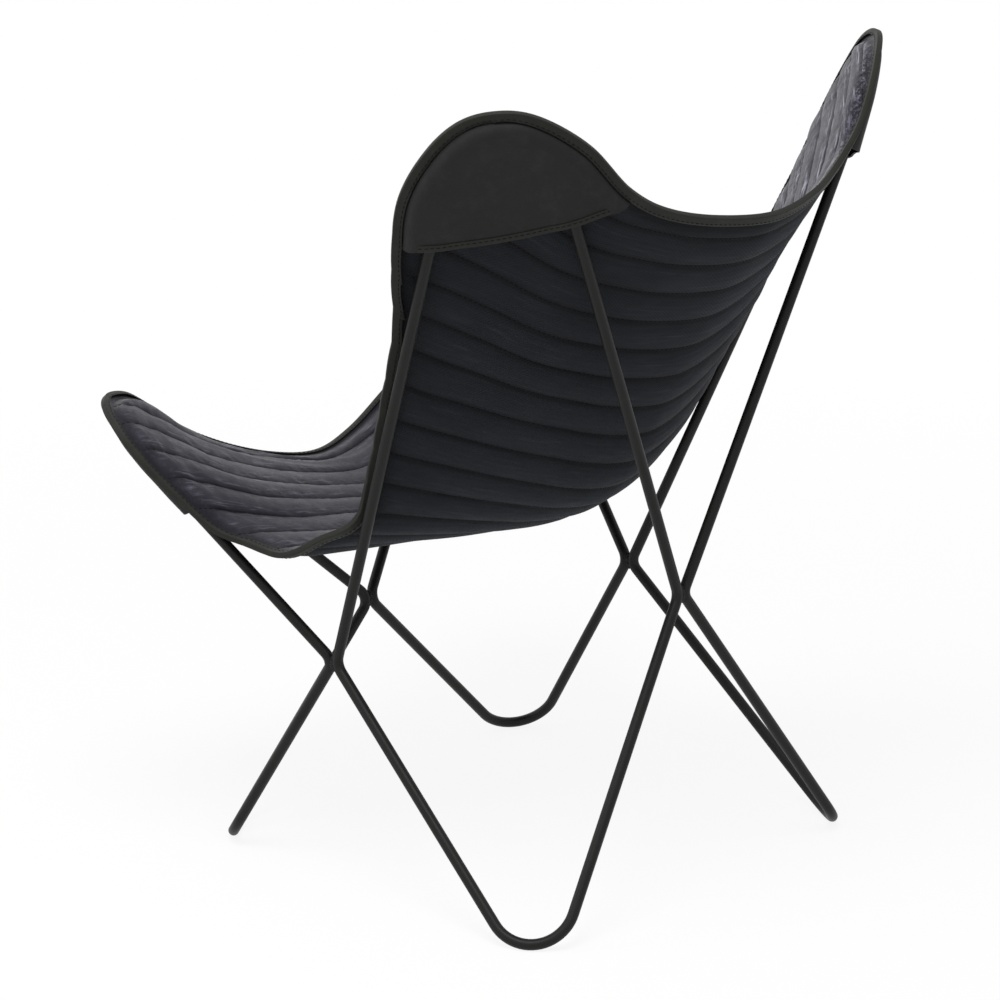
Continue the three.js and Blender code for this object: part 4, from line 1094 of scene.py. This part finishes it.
def smooth_leather(name, colour, scuff):
    """Corrected-grain leather with a matt pigment finish: nearly smooth, with pale scuffs where it
    is pulled over the rods."""
    material, tree = new_material(name)
    place = add_node(tree, "TexCoord").outputs["Object"]
    cloud = add_node(tree, "TexNoise", {
        "Vector": place, "Scale": 1 / (45 * MM), "Detail": 4, "Roughness": 0.6})
    rubbed = add_node(tree, "TexNoise", {
        "Vector": place, "Scale": 1 / (20 * MM), "Detail": 5, "Roughness": 0.7})
    rubbed = add_node(tree, "MapRange", [rubbed, 0.5, 0.72, 0, scuff])
    base = add_node(tree, "Mix", [cloud, shade(colour, 0.82), shade(colour, 1.25)],
                    data_type="RGBA")
    base = add_node(tree, "Mix", [rubbed, base, shade(colour, 2, 0.004)], data_type="RGBA")
    crease = add_node(tree, "TexNoise", {
        "Vector": place, "Scale": 1 / (8 * MM), "Detail": 4, "Roughness": 0.6})
    # Pressed grain is near 0.7 mm. It is drawn 1.8 mm wide so that it shows.
    grain = add_node(tree, "TexVoronoi", {"Vector": place, "Scale": 1 / (1.8 * MM)},
                     feature="DISTANCE_TO_EDGE")
    grain = add_node(tree, "MapRange", [grain, 0, 0.2])
    relief = add_node(tree, "Bump", {"Height": crease, "Distance": 0.2 * MM})
    relief = add_node(tree, "Bump", {"Height": grain, "Distance": 0.06 * MM, "Normal": relief})
    surface = add_node(tree, "BsdfPrincipled", {
        "Base Color": base, "Metallic": 0, "IOR": 1.5, "Specular IOR Level": 0.22,
        "Roughness": add_node(tree, "MapRange", [cloud, 0.3, 0.7, 0.55, 0.68]),
        "Normal": relief})
    add_node(tree, "OutputMaterial", [surface])
    return material


def plain_weave_canvas(name, colour):
    """Heavy cotton duck, woven plain from dyed yarn: a matt over-and-under grain, with pale rub
    marks along the channels, painted light on the channels' crowns and painted shade in their seams."""
    material, tree = new_material(name)
    cloth = add_node(tree, "UVMap", uv_map="cloth")
    place = add_node(tree, "TexCoord").outputs["Object"]
    crown = add_node(tree, "Attribute", attribute_name="crown").outputs["Fac"]
    # Threads lie 0.8 mm apart in the cloth. They are drawn 1.8 mm apart so that they show.
    turns = add_node(tree, "VectorMath", [cloth, math.pi / (1.8 * MM)], operation="SCALE")
    waves = add_node(tree, "VectorMath", [turns], operation="SINE")
    threads = add_node(tree, "SeparateXYZ", [waves]).outputs
    weave = add_node(tree, "Math", [threads["X"], threads["Y"]], operation="MULTIPLY")
    # Thick places in the yarn, 4 mm wide, and rub marks, 9 mm wide, lie along the channels.
    slub = add_node(tree, "VectorMath", [cloth, SLUB_STRETCH], operation="MULTIPLY")
    slub = add_node(tree, "TexNoise", {"Vector": slub, "Scale": 1 / (4 * MM)})
    cloud = add_node(tree, "TexNoise", {
        "Vector": place, "Scale": 1 / (80 * MM), "Detail": 4, "Roughness": 0.6})
    rubbed = add_node(tree, "VectorMath", [cloth, STREAK_STRETCH], operation="MULTIPLY")
    rubbed = add_node(tree, "TexNoise", {
        "Vector": rubbed, "Scale": 1 / (9 * MM), "Detail": 4, "Roughness": 0.6})
    rubbed = add_node(tree, "MapRange", [rubbed, 0.56, 0.78])
    high = add_node(tree, "MapRange", [crown, 0.25, 0.9, 0.05, 0.5])
    rubbed = add_node(tree, "Math", [rubbed, high], operation="MULTIPLY")
    # The crowns are painted lighter, as light falls on them, over a random tone.
    lighter = add_node(tree, "MapRange", [crown, 0, 1, 0.35, 1])
    lighter = add_node(tree, "Math", [cloud, lighter], operation="MULTIPLY")
    base = add_node(tree, "Mix", [lighter, shade(colour, 0.78), shade(colour, 1.5, 0.003)],
                    data_type="RGBA")
    under = add_node(tree, "MapRange", [weave, -1, 1, 0, 0.25])
    # Painted shade darkens the seams.
    painted_canvas_seam_shade = add_node(tree, "MapRange", [crown, 0.1, 0.5, 0.75, 0])
    for share, layer in ((under, shade(colour, 0.5)), (rubbed, shade(colour, 2.4, 0.012)),
                         (painted_canvas_seam_shade, shade(colour, 0.25))):
        base = add_node(tree, "Mix", [share, base, layer], data_type="RGBA")
    relief = add_node(tree, "Bump", {"Height": slub, "Distance": 0.2 * MM})
    relief = add_node(tree, "Bump", {"Height": weave, "Distance": 0.12 * MM, "Normal": relief})
    surface = add_node(tree, "BsdfPrincipled", {
        "Base Color": base, "Metallic": 0, "IOR": 1.45, "Specular IOR Level": 0.15,
        "Sheen Weight": 0.06, "Sheen Roughness": 0.6, "Sheen Tint": linear("#b9bccb"),
        "Roughness": add_node(tree, "MapRange", [slub, 0.3, 0.7, 0.78, 0.92]),
        "Normal": relief})
    add_node(tree, "OutputMaterial", [surface])
    return material


def spun_thread(name, colour):
    """Bonded polyester sewing thread, twisted from three plies: a slight gloss on its turns."""
    material, tree = new_material(name)
    place = add_node(tree, "TexCoord").outputs["Object"]
    # One turn of a ply each 1.2 mm
    twist = add_node(tree, "TexWave", {
        "Vector": place, "Scale": WAVE_LENGTH / (1.2 * MM), "Distortion": 0.5},
        bands_direction="DIAGONAL").outputs["Fac"]
    base = add_node(tree, "Mix", [twist, shade(colour, 0.7), shade(colour, 1.5)],
                    data_type="RGBA")
    surface = add_node(tree, "BsdfPrincipled", {
        "Base Color": base, "IOR": 1.5, "Specular IOR Level": 0.12,
        "Roughness": add_node(tree, "MapRange", [twist, 0, 1, 0.7, 0.85]),
        "Normal": add_node(tree, "Bump", {"Height": twist, "Distance": 0.1 * MM})})
    add_node(tree, "OutputMaterial", [surface])
    return material


def seen_plainly(tree):
    """A value of 1 for what is seen straight, mirrored or through glass, and 0 for other light."""
    path = add_node(tree, "LightPath").outputs
    seen = add_node(tree, "Math", [path["Is Glossy Ray"], path["Is Transmission Ray"]],
                    operation="MAXIMUM")
    return add_node(tree, "Math", [path["Is Camera Ray"], seen], operation="MAXIMUM")


def white_painted_floor(name, colour):
    """Painted board, matt and nearly white. Where it is seen it is lifted towards white, and less
    so under the chair, so that a soft shadow stays."""
    material, tree = new_material(name)
    place = add_node(tree, "TexCoord").outputs["Object"]
    grain = add_node(tree, "TexNoise", {"Vector": place, "Scale": 1 / (20 * MM), "Detail": 3})
    paint = add_node(tree, "BsdfPrincipled", {
        "Base Color": add_node(tree, "Mix", [grain, colour, shade(colour, 0.98)],
                               data_type="RGBA"),
        "Roughness": 0.9, "Specular IOR Level": 0.1})
    white = add_node(tree, "Emission", {"Color": (1, 1, 1), "Strength": 1})
    away = add_node(tree, "VectorMath", [place], operation="LENGTH")
    lifted = add_node(tree, "MapRange", [away, *SHADOW_FADE, SHADOW_LIFT, 1])
    lifted = add_node(tree, "Math", [lifted, seen_plainly(tree)], operation="MULTIPLY")
    add_node(tree, "OutputMaterial", [add_node(tree, "MixShader", [lifted, paint, white])])
    return material


def finish_of(scene, kind):
    """The material of one kind, made once and shared by its pieces."""
    c = {name: tuple(getattr(scene.chair_colours, name)) for name in ChairColours.__annotations__}
    makers = {
        "satin powder-coated steel": lambda n: powder_coated_steel(n, c["coat"]),
        "powder-coated weld bead": lambda n: powder_coated_steel(n, c["coat"], True),
        "waxed cowhide": lambda n: waxed_leather(
            n, c["leather"], c["leather_high"], c["leather_wax"]),
        "matt corrected leather": lambda n: smooth_leather(n, c["pocket"], 0.4),
        "folded leather tape": lambda n: smooth_leather(n, c["binding"], 0.25),
        "plain-weave cotton duck": lambda n: plain_weave_canvas(n, c["canvas"]),
        "bonded polyester thread": lambda n: spun_thread(n, c["thread"]),
        "white painted floor": lambda n: white_painted_floor(n, c["floor"]),
    }
    return bpy.data.materials.get(kind) or makers[kind](kind)


# Operators

class AddRodLoops(bpy.types.Operator):
    """Bend the four rod loops of the frame"""
    bl_idname = "sling_chair.rod_loops"
    bl_label = "Rod loops"

    def execute(self, context):
        sizes = context.scene.chair_frame
        material = finish_of(context.scene, "satin powder-coated steel")
        for end, rear in (("rear", True), ("front", False)):
            rings = loop_rings(loop_arcs(loop_bends(sizes, rear)), sizes.rod / 2)
            faces = rings_closed(rings)
            points = rings.reshape(-1, 3)
            points[:, 2] = np.maximum(points[:, 2], 0)
            for side, body in (("left", points), ("right", mirrored(points))):
                add_piece(f"{end}_{side}_rod", body, faces, material,
                          [f"{end}_{side}_loop"])
        return {"FINISHED"}


class AddWelds(bpy.types.Operator):
    """Lay the four weld beads in the grooves between the loops"""
    bl_idname = "sling_chair.welds"
    bl_label = "Weld beads"

    def execute(self, context):
        material = finish_of(context.scene, "powder-coated weld bead")
        for node in ("rear_center_weld", "front_center_weld", "left_weld", "right_weld"):
            low, high = (np.array(corner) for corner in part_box(node))
            middle, half = (low + high) / 2, (high - low) / 2
            points, faces = self.finer(context, node)
            # The bead's own skin is near the ellipsoid in its box, and the rods' grooves are not.
            local = (points - middle) / half
            reach = np.linalg.norm(local, axis=1)
            skin = smooth(reach, 0.9, 0.97)
            bowed = 1.5 * np.cos(local[:, 0] * 2) + 1.5 * local[:, 1] ** 2
            ripple = RIPPLE * np.cos(2 * math.pi * points[:, 2] / RIPPLE_PITCH + bowed)
            lumps = 0.02 * noise(points[:, 2] / (4 * MM), reach * 3, 31)
            points = middle + local * half * (1 + skin * (ripple + lumps))[:, None]
            points = np.clip(points, low - BEAD_ROOM, high + BEAD_ROOM) + (0, ORIGIN_DEPTH, 0)
            add_piece(node.replace("weld", "bead"), points, faces, material, [node])
        return {"FINISHED"}

    def finer(self, context, node):
        """Points and faces of a node's mesh, with each face cut up twice."""
        cut = bpy.data.objects.new(node + "_cut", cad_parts[node].data.copy())
        context.scene.collection.objects.link(cut)
        modifier = cut.modifiers.new("Finer", "SUBSURF")
        modifier.levels = 2
        modifier.subdivision_type = "SIMPLE"
        context.view_layer.update()
        evaluated = cut.evaluated_get(context.evaluated_depsgraph_get())
        mesh = evaluated.to_mesh()
        points = np.array([vertex.co for vertex in mesh.vertices])
        faces = [list(polygon.vertices) for polygon in mesh.polygons]
        evaluated.to_mesh_clear()
        bpy.data.objects.remove(cut)
        return points, faces


class AddQuiltFace(bpy.types.Operator):
    """Sew the quilted leather face with its wadding"""
    bl_idname = "sling_chair.quilt_face"
    bl_label = "Quilted face"

    def execute(self, context):
        scene = context.scene
        form, quilt = sling_form(scene), quilt_of(scene, FACE_COLUMNS, FACE_ROWS)
        s, level = form.sizes, levels(form, quilt.from_edge)
        top = level.face_top + s.face_crown * quilt.crown + face_relief(form, quilt)
        bottom = level.wadding_bottom - s.back_crown * quilt.crown
        top, bottom = quilt.normal * top[:, None], quilt.normal * bottom[:, None]
        points, faces = closed_sheet(quilt.place, quilt.triangles, quilt.outline, top, bottom)
        bent, ridge = self.wear(form, quilt)
        values = {"crown": np.tile(quilt.crown, 2), "bent": np.tile(bent, 2),
                  "ridge": np.tile(ridge, 2)}
        face = add_piece(
            "quilted_face", points, faces, finish_of(scene, "waxed cowhide"),
            ["face_panel", "wadding"], np.tile(quilt.flat, (2, 1)), values)
        add_stitching("face_stitching", seam_runs(quilt, quilt.place + top, 1), scene,
                      finish_of(scene, "bonded polyester thread"))
        return {"FINISHED"}

    def wear(self, form, quilt):
        """How much a place has been bent in use, which is most in the back lobes and beside where
        the back meets the seat, and how near it is to the bend round a rod. Both place the pale wax,
        which is partly a painted highlight."""
        back, front = (1 - smooth(far, USE_NEAR, USE_FAR) for far in from_peaks(form, quilt))
        valley = np.exp(-((quilt.seam - VALLEY_SEAM) / VALLEY_REACH) ** 2)
        valley = valley * smooth(np.abs(quilt.across), 0.3, 0.9)
        bent = 0.15 + 0.85 * np.maximum(back, np.maximum(0.2 * front, 0.6 * valley))
        ridge = np.exp(-((quilt.from_edge - RIDGE_PLACE) / RIDGE_REACH) ** 2)
        return bent, ridge * np.maximum(back, 0.12 * front)


class AddCanvasBack(bpy.types.Operator):
    """Cut the canvas back and fold the binding round the edge"""
    bl_idname = "sling_chair.canvas_back"
    bl_label = "Canvas back and binding"

    def execute(self, context):
        scene = context.scene
        form, quilt = sling_form(scene), quilt_of(scene, BACK_COLUMNS, BACK_ROWS)
        s, level = form.sizes, levels(form, quilt.from_edge)
        # Away from the rods the canvas bellies out between its seams, and puckers beside them.
        away = np.minimum(*(smooth(far, REST_NEAR, REST_FAR) for far in from_peaks(form, quilt)))
        run, seam, crown = quilt.run, quilt.seam, quilt.crown
        change = BELLY_CHANGE * noise(run / BELLY_WIDTH, np.floor(seam) * 4.7, 41)
        to_seam = np.abs(seam - np.round(seam)) * form.channel
        pucker = SHIRR * noise(run / SHIRR_WIDTH, seam * 1.1, 42) * np.exp(-to_seam / SHIRR_REACH)
        drop = -crown * (s.back_crown + away * (s.canvas_belly * (1 + change) + pucker))
        top = quilt.normal * (level.canvas_top + drop)[:, None]
        bottom = quilt.normal * (level.canvas_bottom + drop)[:, None]
        points, faces = closed_sheet(quilt.place, quilt.triangles, quilt.outline, top, bottom)
        canvas = add_piece(
            "canvas_back", points, faces, finish_of(scene, "plain-weave cotton duck"),
            ["backing_panel"], np.tile(quilt.flat, (2, 1)),
            {"crown": np.tile(crown, 2)})
        thread = finish_of(scene, "bonded polyester thread")
        sewing = add_stitching("back_stitching", seam_runs(quilt, quilt.place + bottom, -1),
                               scene, thread)
        binding, edging = self.add_binding(scene, form, levels(form), thread)
        return {"FINISHED"}

    def add_binding(self, scene, form, level, thread):
        """The folded tape round the quilt's edge, which takes in the pockets' edges too."""
        s = form.sizes
        border = quilt_border(quilt_of(scene, FACE_COLUMNS, FACE_ROWS))
        above = level.face_top + CLEARANCE
        below = level.canvas_bottom - POCKET_GAP - s.pocket - CLEARANCE
        outer, width, soft = CLEARANCE + s.binding, s.binding_width, BINDING_ROUND
        # Half of its section, from the fold's inside round the lip to the fold's outside, as
        # places outwards from the edge and over the layers
        inside = [(CLEARANCE, above), (-width, above + s.binding_flare)]
        outside = [(-width, above + s.binding_flare + s.binding * 0.6),
                   (-width + soft * 0.5, above + s.binding_flare + s.binding),
                   (-width * 0.5, above + s.binding_flare * 0.55 + s.binding * 1.12),
                   (outer - 2.2 * soft, above + s.binding)]
        fold = [(outer - soft + soft * math.sin(a), above + s.binding - soft + soft * math.cos(a))
                for a in np.radians([25, 55, 85])]
        upper = [*inside, *outside, *fold]
        lower = [(out, above + below - high) for out, high in upper[::-1]]
        narrower = s.face_binding / width
        section = [(out * narrower if out < 0 else out, high) for out, high in upper] + lower
        rings = []
        for out, high in section:
            aside = border.inward * -out if out < 0 else border.outward * out
            rings.append(border.place + aside + border.normal * high)
        rings = np.stack(rings, 1)
        binding = add_piece("binding_tape", rings.reshape(-1, 3), rings_closed(rings),
                            finish_of(scene, "folded leather tape"),
                            ["edge_binding"])
        runs = []
        for sign, base, reach in ((1, above, s.face_binding), (-1, below, width)):
            # The seam runs at 0.7 of the binding's width, on its sloping skin.
            lift = sign * (s.binding_flare * 0.72 + s.binding * 1.06)
            places = border.place + border.inward * 0.7 * reach + border.normal * (base + lift)
            runs.append((np.vstack([places, places[:1]]),
                         sign * np.vstack([border.normal, border.normal[:1]])))
        return binding, add_stitching("binding_stitching", runs, scene, thread)


class AddPockets(bpy.types.Operator):
    """Stretch the four pockets over the loops' upper bends"""
    bl_idname = "sling_chair.pockets"
    bl_label = "Pockets"

    def execute(self, context):
        scene = context.scene
        form, quilt = sling_form(scene), quilt_of(scene, FACE_COLUMNS, FACE_ROWS)
        border = quilt_border(quilt)
        leather = finish_of(scene, "matt corrected leather")
        tape = finish_of(scene, "folded leather tape")
        thread = finish_of(scene, "bonded polyester thread")
        for end, rod, rear in (("back", "rear", True), ("front", "front", False)):
            (points, faces), hem, run = self.shape(form, quilt, border, rear)
            for side, turn in (("left", (1, 1, 1)), ("right", (-1, 1, 1))):
                body = add_piece(f"{end}_{side}_pocket_leather", points * turn, faces,
                                 leather, [f"{end}_{side}_pocket"])
                fold = add_piece(f"{end}_{side}_hem_fold", hem[0] * turn, hem[1], tape,
                                 [f"{end}_{side}_pocket_hem"])
                sewing = add_stitching(f"{end}_{side}_pocket_stitching",
                                       [(run[0] * turn, run[1] * turn)], scene, thread)
        return {"FINISHED"}

    def shape(self, form, quilt, border, rear):
        """A left pocket: its leather, its hem and the run of its stitches. The leather starts at
        the binding, slopes down past the rod and closes under it in rungs from the tip on."""
        s, peak = form.sizes, form.peaks[0 if rear else 1]
        lengths = (s.back_hem_side, s.back_hem_edge) if rear else (s.front_hem_side, s.front_hem_edge)
        chain = self.chain(quilt, border, rear, lengths, s.hem_width)
        inward = self.inward(chain, s.hem_width, form.slope)
        top = levels(form).canvas_bottom - POCKET_GAP
        below_rod = peak.centre - peak.normal * (form.rod + CLEARANCE)
        inset = lambda width: chain.place + inward * width + chain.normal * top
        sink = lambda places: places + peak.normal * ((below_rod - places) @ peak.normal)[:, None]
        start, corner = inset(form.border), sink(inset(form.border + POCKET_CORNER))
        floor = sink(inset(form.slope + ROD_ROOM + form.rod))
        rows = [inset(0), inset(form.border / 2), start]
        for t in POCKET_SLOPE:
            rows.append(start * (1 - t) ** 2 + corner * 2 * t * (1 - t) + floor * t * t)
        rungs = self.rungs(form, peak, floor)
        points = np.vstack([*rows, *(rung[1:-1] for rung in rungs)])
        faces, rim, tip = self.faces(len(rows))
        normals = sheet_normals(points, faces)
        if normals[tip] @ peak.normal > 0:
            normals = -normals
        pocket = closed_sheet(points, faces, rim[::-1], normals * 0, normals * s.pocket)
        return pocket, *self.hem(form, peak, rungs)

    def inward(self, chain, hem_width, slope):
        """Steps from the border into a pocket that each go in by one across the edge: along the
        hem at its ends, and straight in from a slope's width on."""
        hem = unit(chain.place[-1] - chain.place[0])
        from_side = (np.arange(len(chain.place)) < POCKET_STEPS)[:, None]
        end = np.where(from_side, chain.place[0], chain.place[-1])
        far = np.linalg.norm(chain.place - end, axis=1) - hem_width
        share = np.clip(far / slope, 0, 1)[:, None]
        inward = np.where(from_side, hem, -hem) * (1 - share) - chain.outward * share
        inward = unit(flatten(inward, chain.normal))
        return inward / -dot(inward, unit(chain.outward))[:, None]

    def rungs(self, form, peak, floor):
        """Lines across a pocket under its rod, from beside the tip to the bowed open edge."""
        share, tip, rungs = np.linspace(0, 1, POCKET_COLUMNS + 1), POCKET_STEPS, []
        for k in range(1, POCKET_STEPS + 1):
            grown = min(1, k / (POCKET_STEPS - 1)) ** 2
            bow = 4 * form.sizes.hem_bow * grown * share * (1 - share)
            line = floor[tip - k] + (floor[tip + k] - floor[tip - k]) * share[:, None]
            line = line - peak.axis * bow[:, None]
            rungs.append(line + peak.normal * self.slack(form, peak, line)[:, None])
        return rungs

    def faces(self, count):
        """A pocket's faces and rim, with count rows down its slope, and the vertex at its tip."""
        width, inner = 2 * POCKET_STEPS + 1, POCKET_COLUMNS - 1
        tip, body = (count - 1) * width + POCKET_STEPS, count * width
        rungs = [[tip - k, *range(body + (k - 1) * inner, body + k * inner), tip + k]
                 for k in range(1, POCKET_STEPS + 1)]
        faces = grid_faces(count, width)
        faces += [[tip, b, a] for a, b in zip(rungs[0], rungs[0][1:])]
        for upper, lower in zip(rungs, rungs[1:]):
            faces += [[upper[i], upper[i + 1], lower[i + 1], lower[i]]
                      for i in range(POCKET_COLUMNS)]
        rim = [*range(width), *(r * width + width - 1 for r in range(1, count)),
               *rungs[-1][-2:0:-1], *(r * width for r in range(count - 1, 0, -1))]
        return faces, rim, tip

    def chain(self, quilt, border, rear, lengths, hem_width):
        """The border from a pocket's hem on the side edge round the tip to its hem on the other
        edge, in even steps with one at each hem's inner line."""
        at = quilt.outline.index(quilt.tips[0 if rear else 1])
        halves = []
        for length, step in zip(lengths, (1, -1) if rear else (-1, 1)):
            ids = (at + step * np.arange(POCKET_REACH)) % len(quilt.outline)
            walked = lengths_along(border.place[ids])
            stops = np.append(np.linspace(0, length - hem_width, POCKET_STEPS), length)
            halves.append([walk(data[ids], walked, stops)
                           for data in (border.place, border.normal, border.outward)])
        side, edge = halves
        place, normal, outward = (np.vstack([a[:0:-1], b]) for a, b in zip(side, edge))
        return SimpleNamespace(place=place, normal=normal, outward=outward)

    def slack(self, form, peak, places):
        """How far the pocket's leather goes in between the two legs of the bent rod."""
        offset = places - peak.centre
        up, aside = offset @ peak.axis, np.abs(offset @ peak.to_edge)
        turn = np.arctan2(aside, up)
        to_arc = np.abs(np.hypot(up, aside) - peak.radius)
        corner = np.array([math.cos(peak.spread), math.sin(peak.spread)]) * peak.radius
        leg = np.array([-math.sin(peak.spread), math.cos(peak.spread)])
        to_leg = np.abs((up - corner[0]) * leg[1] - (aside - corner[1]) * leg[0])
        gap = np.where(turn < peak.spread, to_arc, to_leg)
        return POCKET_SLACK * smooth(gap, SLACK_FROM, SLACK_TO)

    def hem(self, form, peak, rungs):
        """The folded strip under a pocket's open edge, and the run of its stitches."""
        s = form.sizes
        open_edge, inner_edge = rungs[-1], rungs[-2]
        lines = [open_edge + (inner_edge - open_edge) * share for share, _ in HEM_SECTION]
        rows, columns = len(lines), POCKET_COLUMNS + 1
        points = np.vstack(lines)
        rim = [*range(columns), *(r * columns + columns - 1 for r in range(1, rows)),
               *range(rows * columns - 2, (rows - 1) * columns - 1, -1),
               *(r * columns for r in range(rows - 2, 0, -1))]
        start = s.pocket + CLEARANCE
        depth = start + s.hem - np.repeat([rounding for _, rounding in HEM_SECTION], columns)
        body = closed_sheet(points, grid_faces(rows, columns), rim[::-1],
                            -peak.normal * start, -peak.normal * depth[:, None])
        stitch_line = lines[2] - peak.normal * (start + s.hem)
        return body, (stitch_line, np.tile(-peak.normal, (columns, 1)))


class SetStudio(bpy.types.Operator):
    """Place the floor, the lights and the camera"""
    bl_idname = "sling_chair.studio"
    bl_label = "Studio"

    def execute(self, context):
        scene, studio = context.scene, context.scene.chair_studio
        self.add_floor(scene)
        self.set_room(scene, studio.daylight)
        for name, power in (("softbox", studio.softbox), ("side_fill", studio.fill),
                            ("front_fill", studio.front_fill)):
            self.add_light(scene, name, power)
        self.add_camera(scene, studio)
        scene.view_settings.view_transform = "Standard"
        return {"FINISHED"}

    def add_camera(self, scene, studio):
        """The photo's camera, with its long lens."""
        camera = bpy.data.cameras.new("camera")
        camera.lens, camera.sensor_width = studio.lens, SENSOR_WIDTH
        camera.shift_y, camera.clip_end = studio.lens_shift, CAMERA_CLIP
        turn, tilt = studio.camera_turn, studio.camera_tilt
        level = math.cos(tilt)
        forward = (-math.sin(turn) * level, -math.cos(turn) * level, -math.sin(tilt))
        scene.camera = self.aimed(scene, camera, studio.camera_place, forward)

    def aimed(self, scene, data, place, direction):
        """A camera's or a lamp's object at a place, turned in a direction."""
        holder = bpy.data.objects.new(data.name, data)
        scene.collection.objects.link(holder)
        holder.location = place
        holder.rotation_euler = Vector(direction).to_track_quat("-Z", "Y").to_euler()
        return holder

    def add_floor(self, scene):
        """A round floor that fades into the white of the room."""
        steps = FLOOR_SIDES
        angles = np.linspace(0, 2 * math.pi, steps, endpoint=False)
        points = [(0, 0, FLOOR_LEVEL)]
        for r in FLOOR_RINGS:
            points += [(r * math.cos(a), r * math.sin(a), FLOOR_LEVEL) for a in angles]
        faces = [[0, 1 + i, 1 + (i + 1) % steps] for i in range(steps)]
        for a in range(1, len(points) - steps, steps):
            b = a + steps
            faces += [[a + i, b + i, b + (i + 1) % steps, a + (i + 1) % steps]
                      for i in range(steps)]
        mesh = bpy.data.meshes.new("studio_floor")
        mesh.from_pydata(points, [], faces)
        floor = bpy.data.objects.new("studio_floor", mesh)
        scene.collection.objects.link(floor)
        floor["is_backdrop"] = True
        mesh.materials.append(finish_of(scene, "white painted floor"))

    def set_room(self, scene, strength):
        """Even white light from all round, seen as plain white."""
        world = bpy.data.worlds.new("white room")
        world.use_nodes = True
        tree = world.node_tree
        tree.nodes.clear()
        level = add_node(tree, "Mix", [seen_plainly(tree), strength, 1], data_type="FLOAT")
        light = add_node(tree, "Background", {"Color": (1, 1, 1), "Strength": level})
        add_node(tree, "OutputWorld", [light])
        scene.world = world

    def add_light(self, scene, name, power):
        """A round softbox, aimed at the middle of the chair."""
        place, size = LAMPS[name]
        lamp = bpy.data.lights.new(name, "AREA")
        lamp.shape, lamp.size, lamp.energy = "DISK", size, power
        self.aimed(scene, lamp, place, Vector(LAMP_AIM) - Vector(place))


class SlingChairPanel(bpy.types.Panel):
    """Steps and sizes of the chair"""
    bl_idname = "VIEW3D_PT_sling_chair"
    bl_label = "Sling chair"
    bl_space_type = "VIEW_3D"
    bl_region_type = "UI"
    bl_category = "Sling chair"

    def draw(self, context):
        for step in OPERATORS:
            self.layout.operator(step.bl_idname)
        for group in GROUPS:
            box = self.layout.box()
            for name in GROUPS[group].__annotations__:
                box.prop(getattr(context.scene, group), name)


GROUPS = {"chair_frame": ChairFrameSizes, "chair_sling": SlingSizes,
          "chair_colours": ChairColours, "chair_studio": StudioSizes}
OPERATORS = (AddRodLoops, AddWelds, AddQuiltFace, AddCanvasBack, AddPockets, SetStudio)


def register():
    """Add the classes, and their groups of values to each scene."""
    for kind in (*GROUPS.values(), *OPERATORS, SlingChairPanel):
        bpy.utils.register_class(kind)
    for name, kind in GROUPS.items():
        setattr(bpy.types.Scene, name, bpy.props.PointerProperty(type=kind))


def unregister():
    """Take them out again."""
    for name in GROUPS:
        delattr(bpy.types.Scene, name)
    for kind in (SlingChairPanel, *reversed(OPERATORS), *reversed(GROUPS.values())):
        bpy.utils.unregister_class(kind)


def main():
    """Build the chair and its studio."""
    register()
    for step in OPERATORS:
        group, name = step.bl_idname.split(".")
        getattr(getattr(bpy.ops, group), name)()
    boxes = {"cad": cad_box, "visual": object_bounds()}
    {name: [list(corner) for corner in box] for name, box in boxes.items()}


if __name__ == "__main__":
    main()
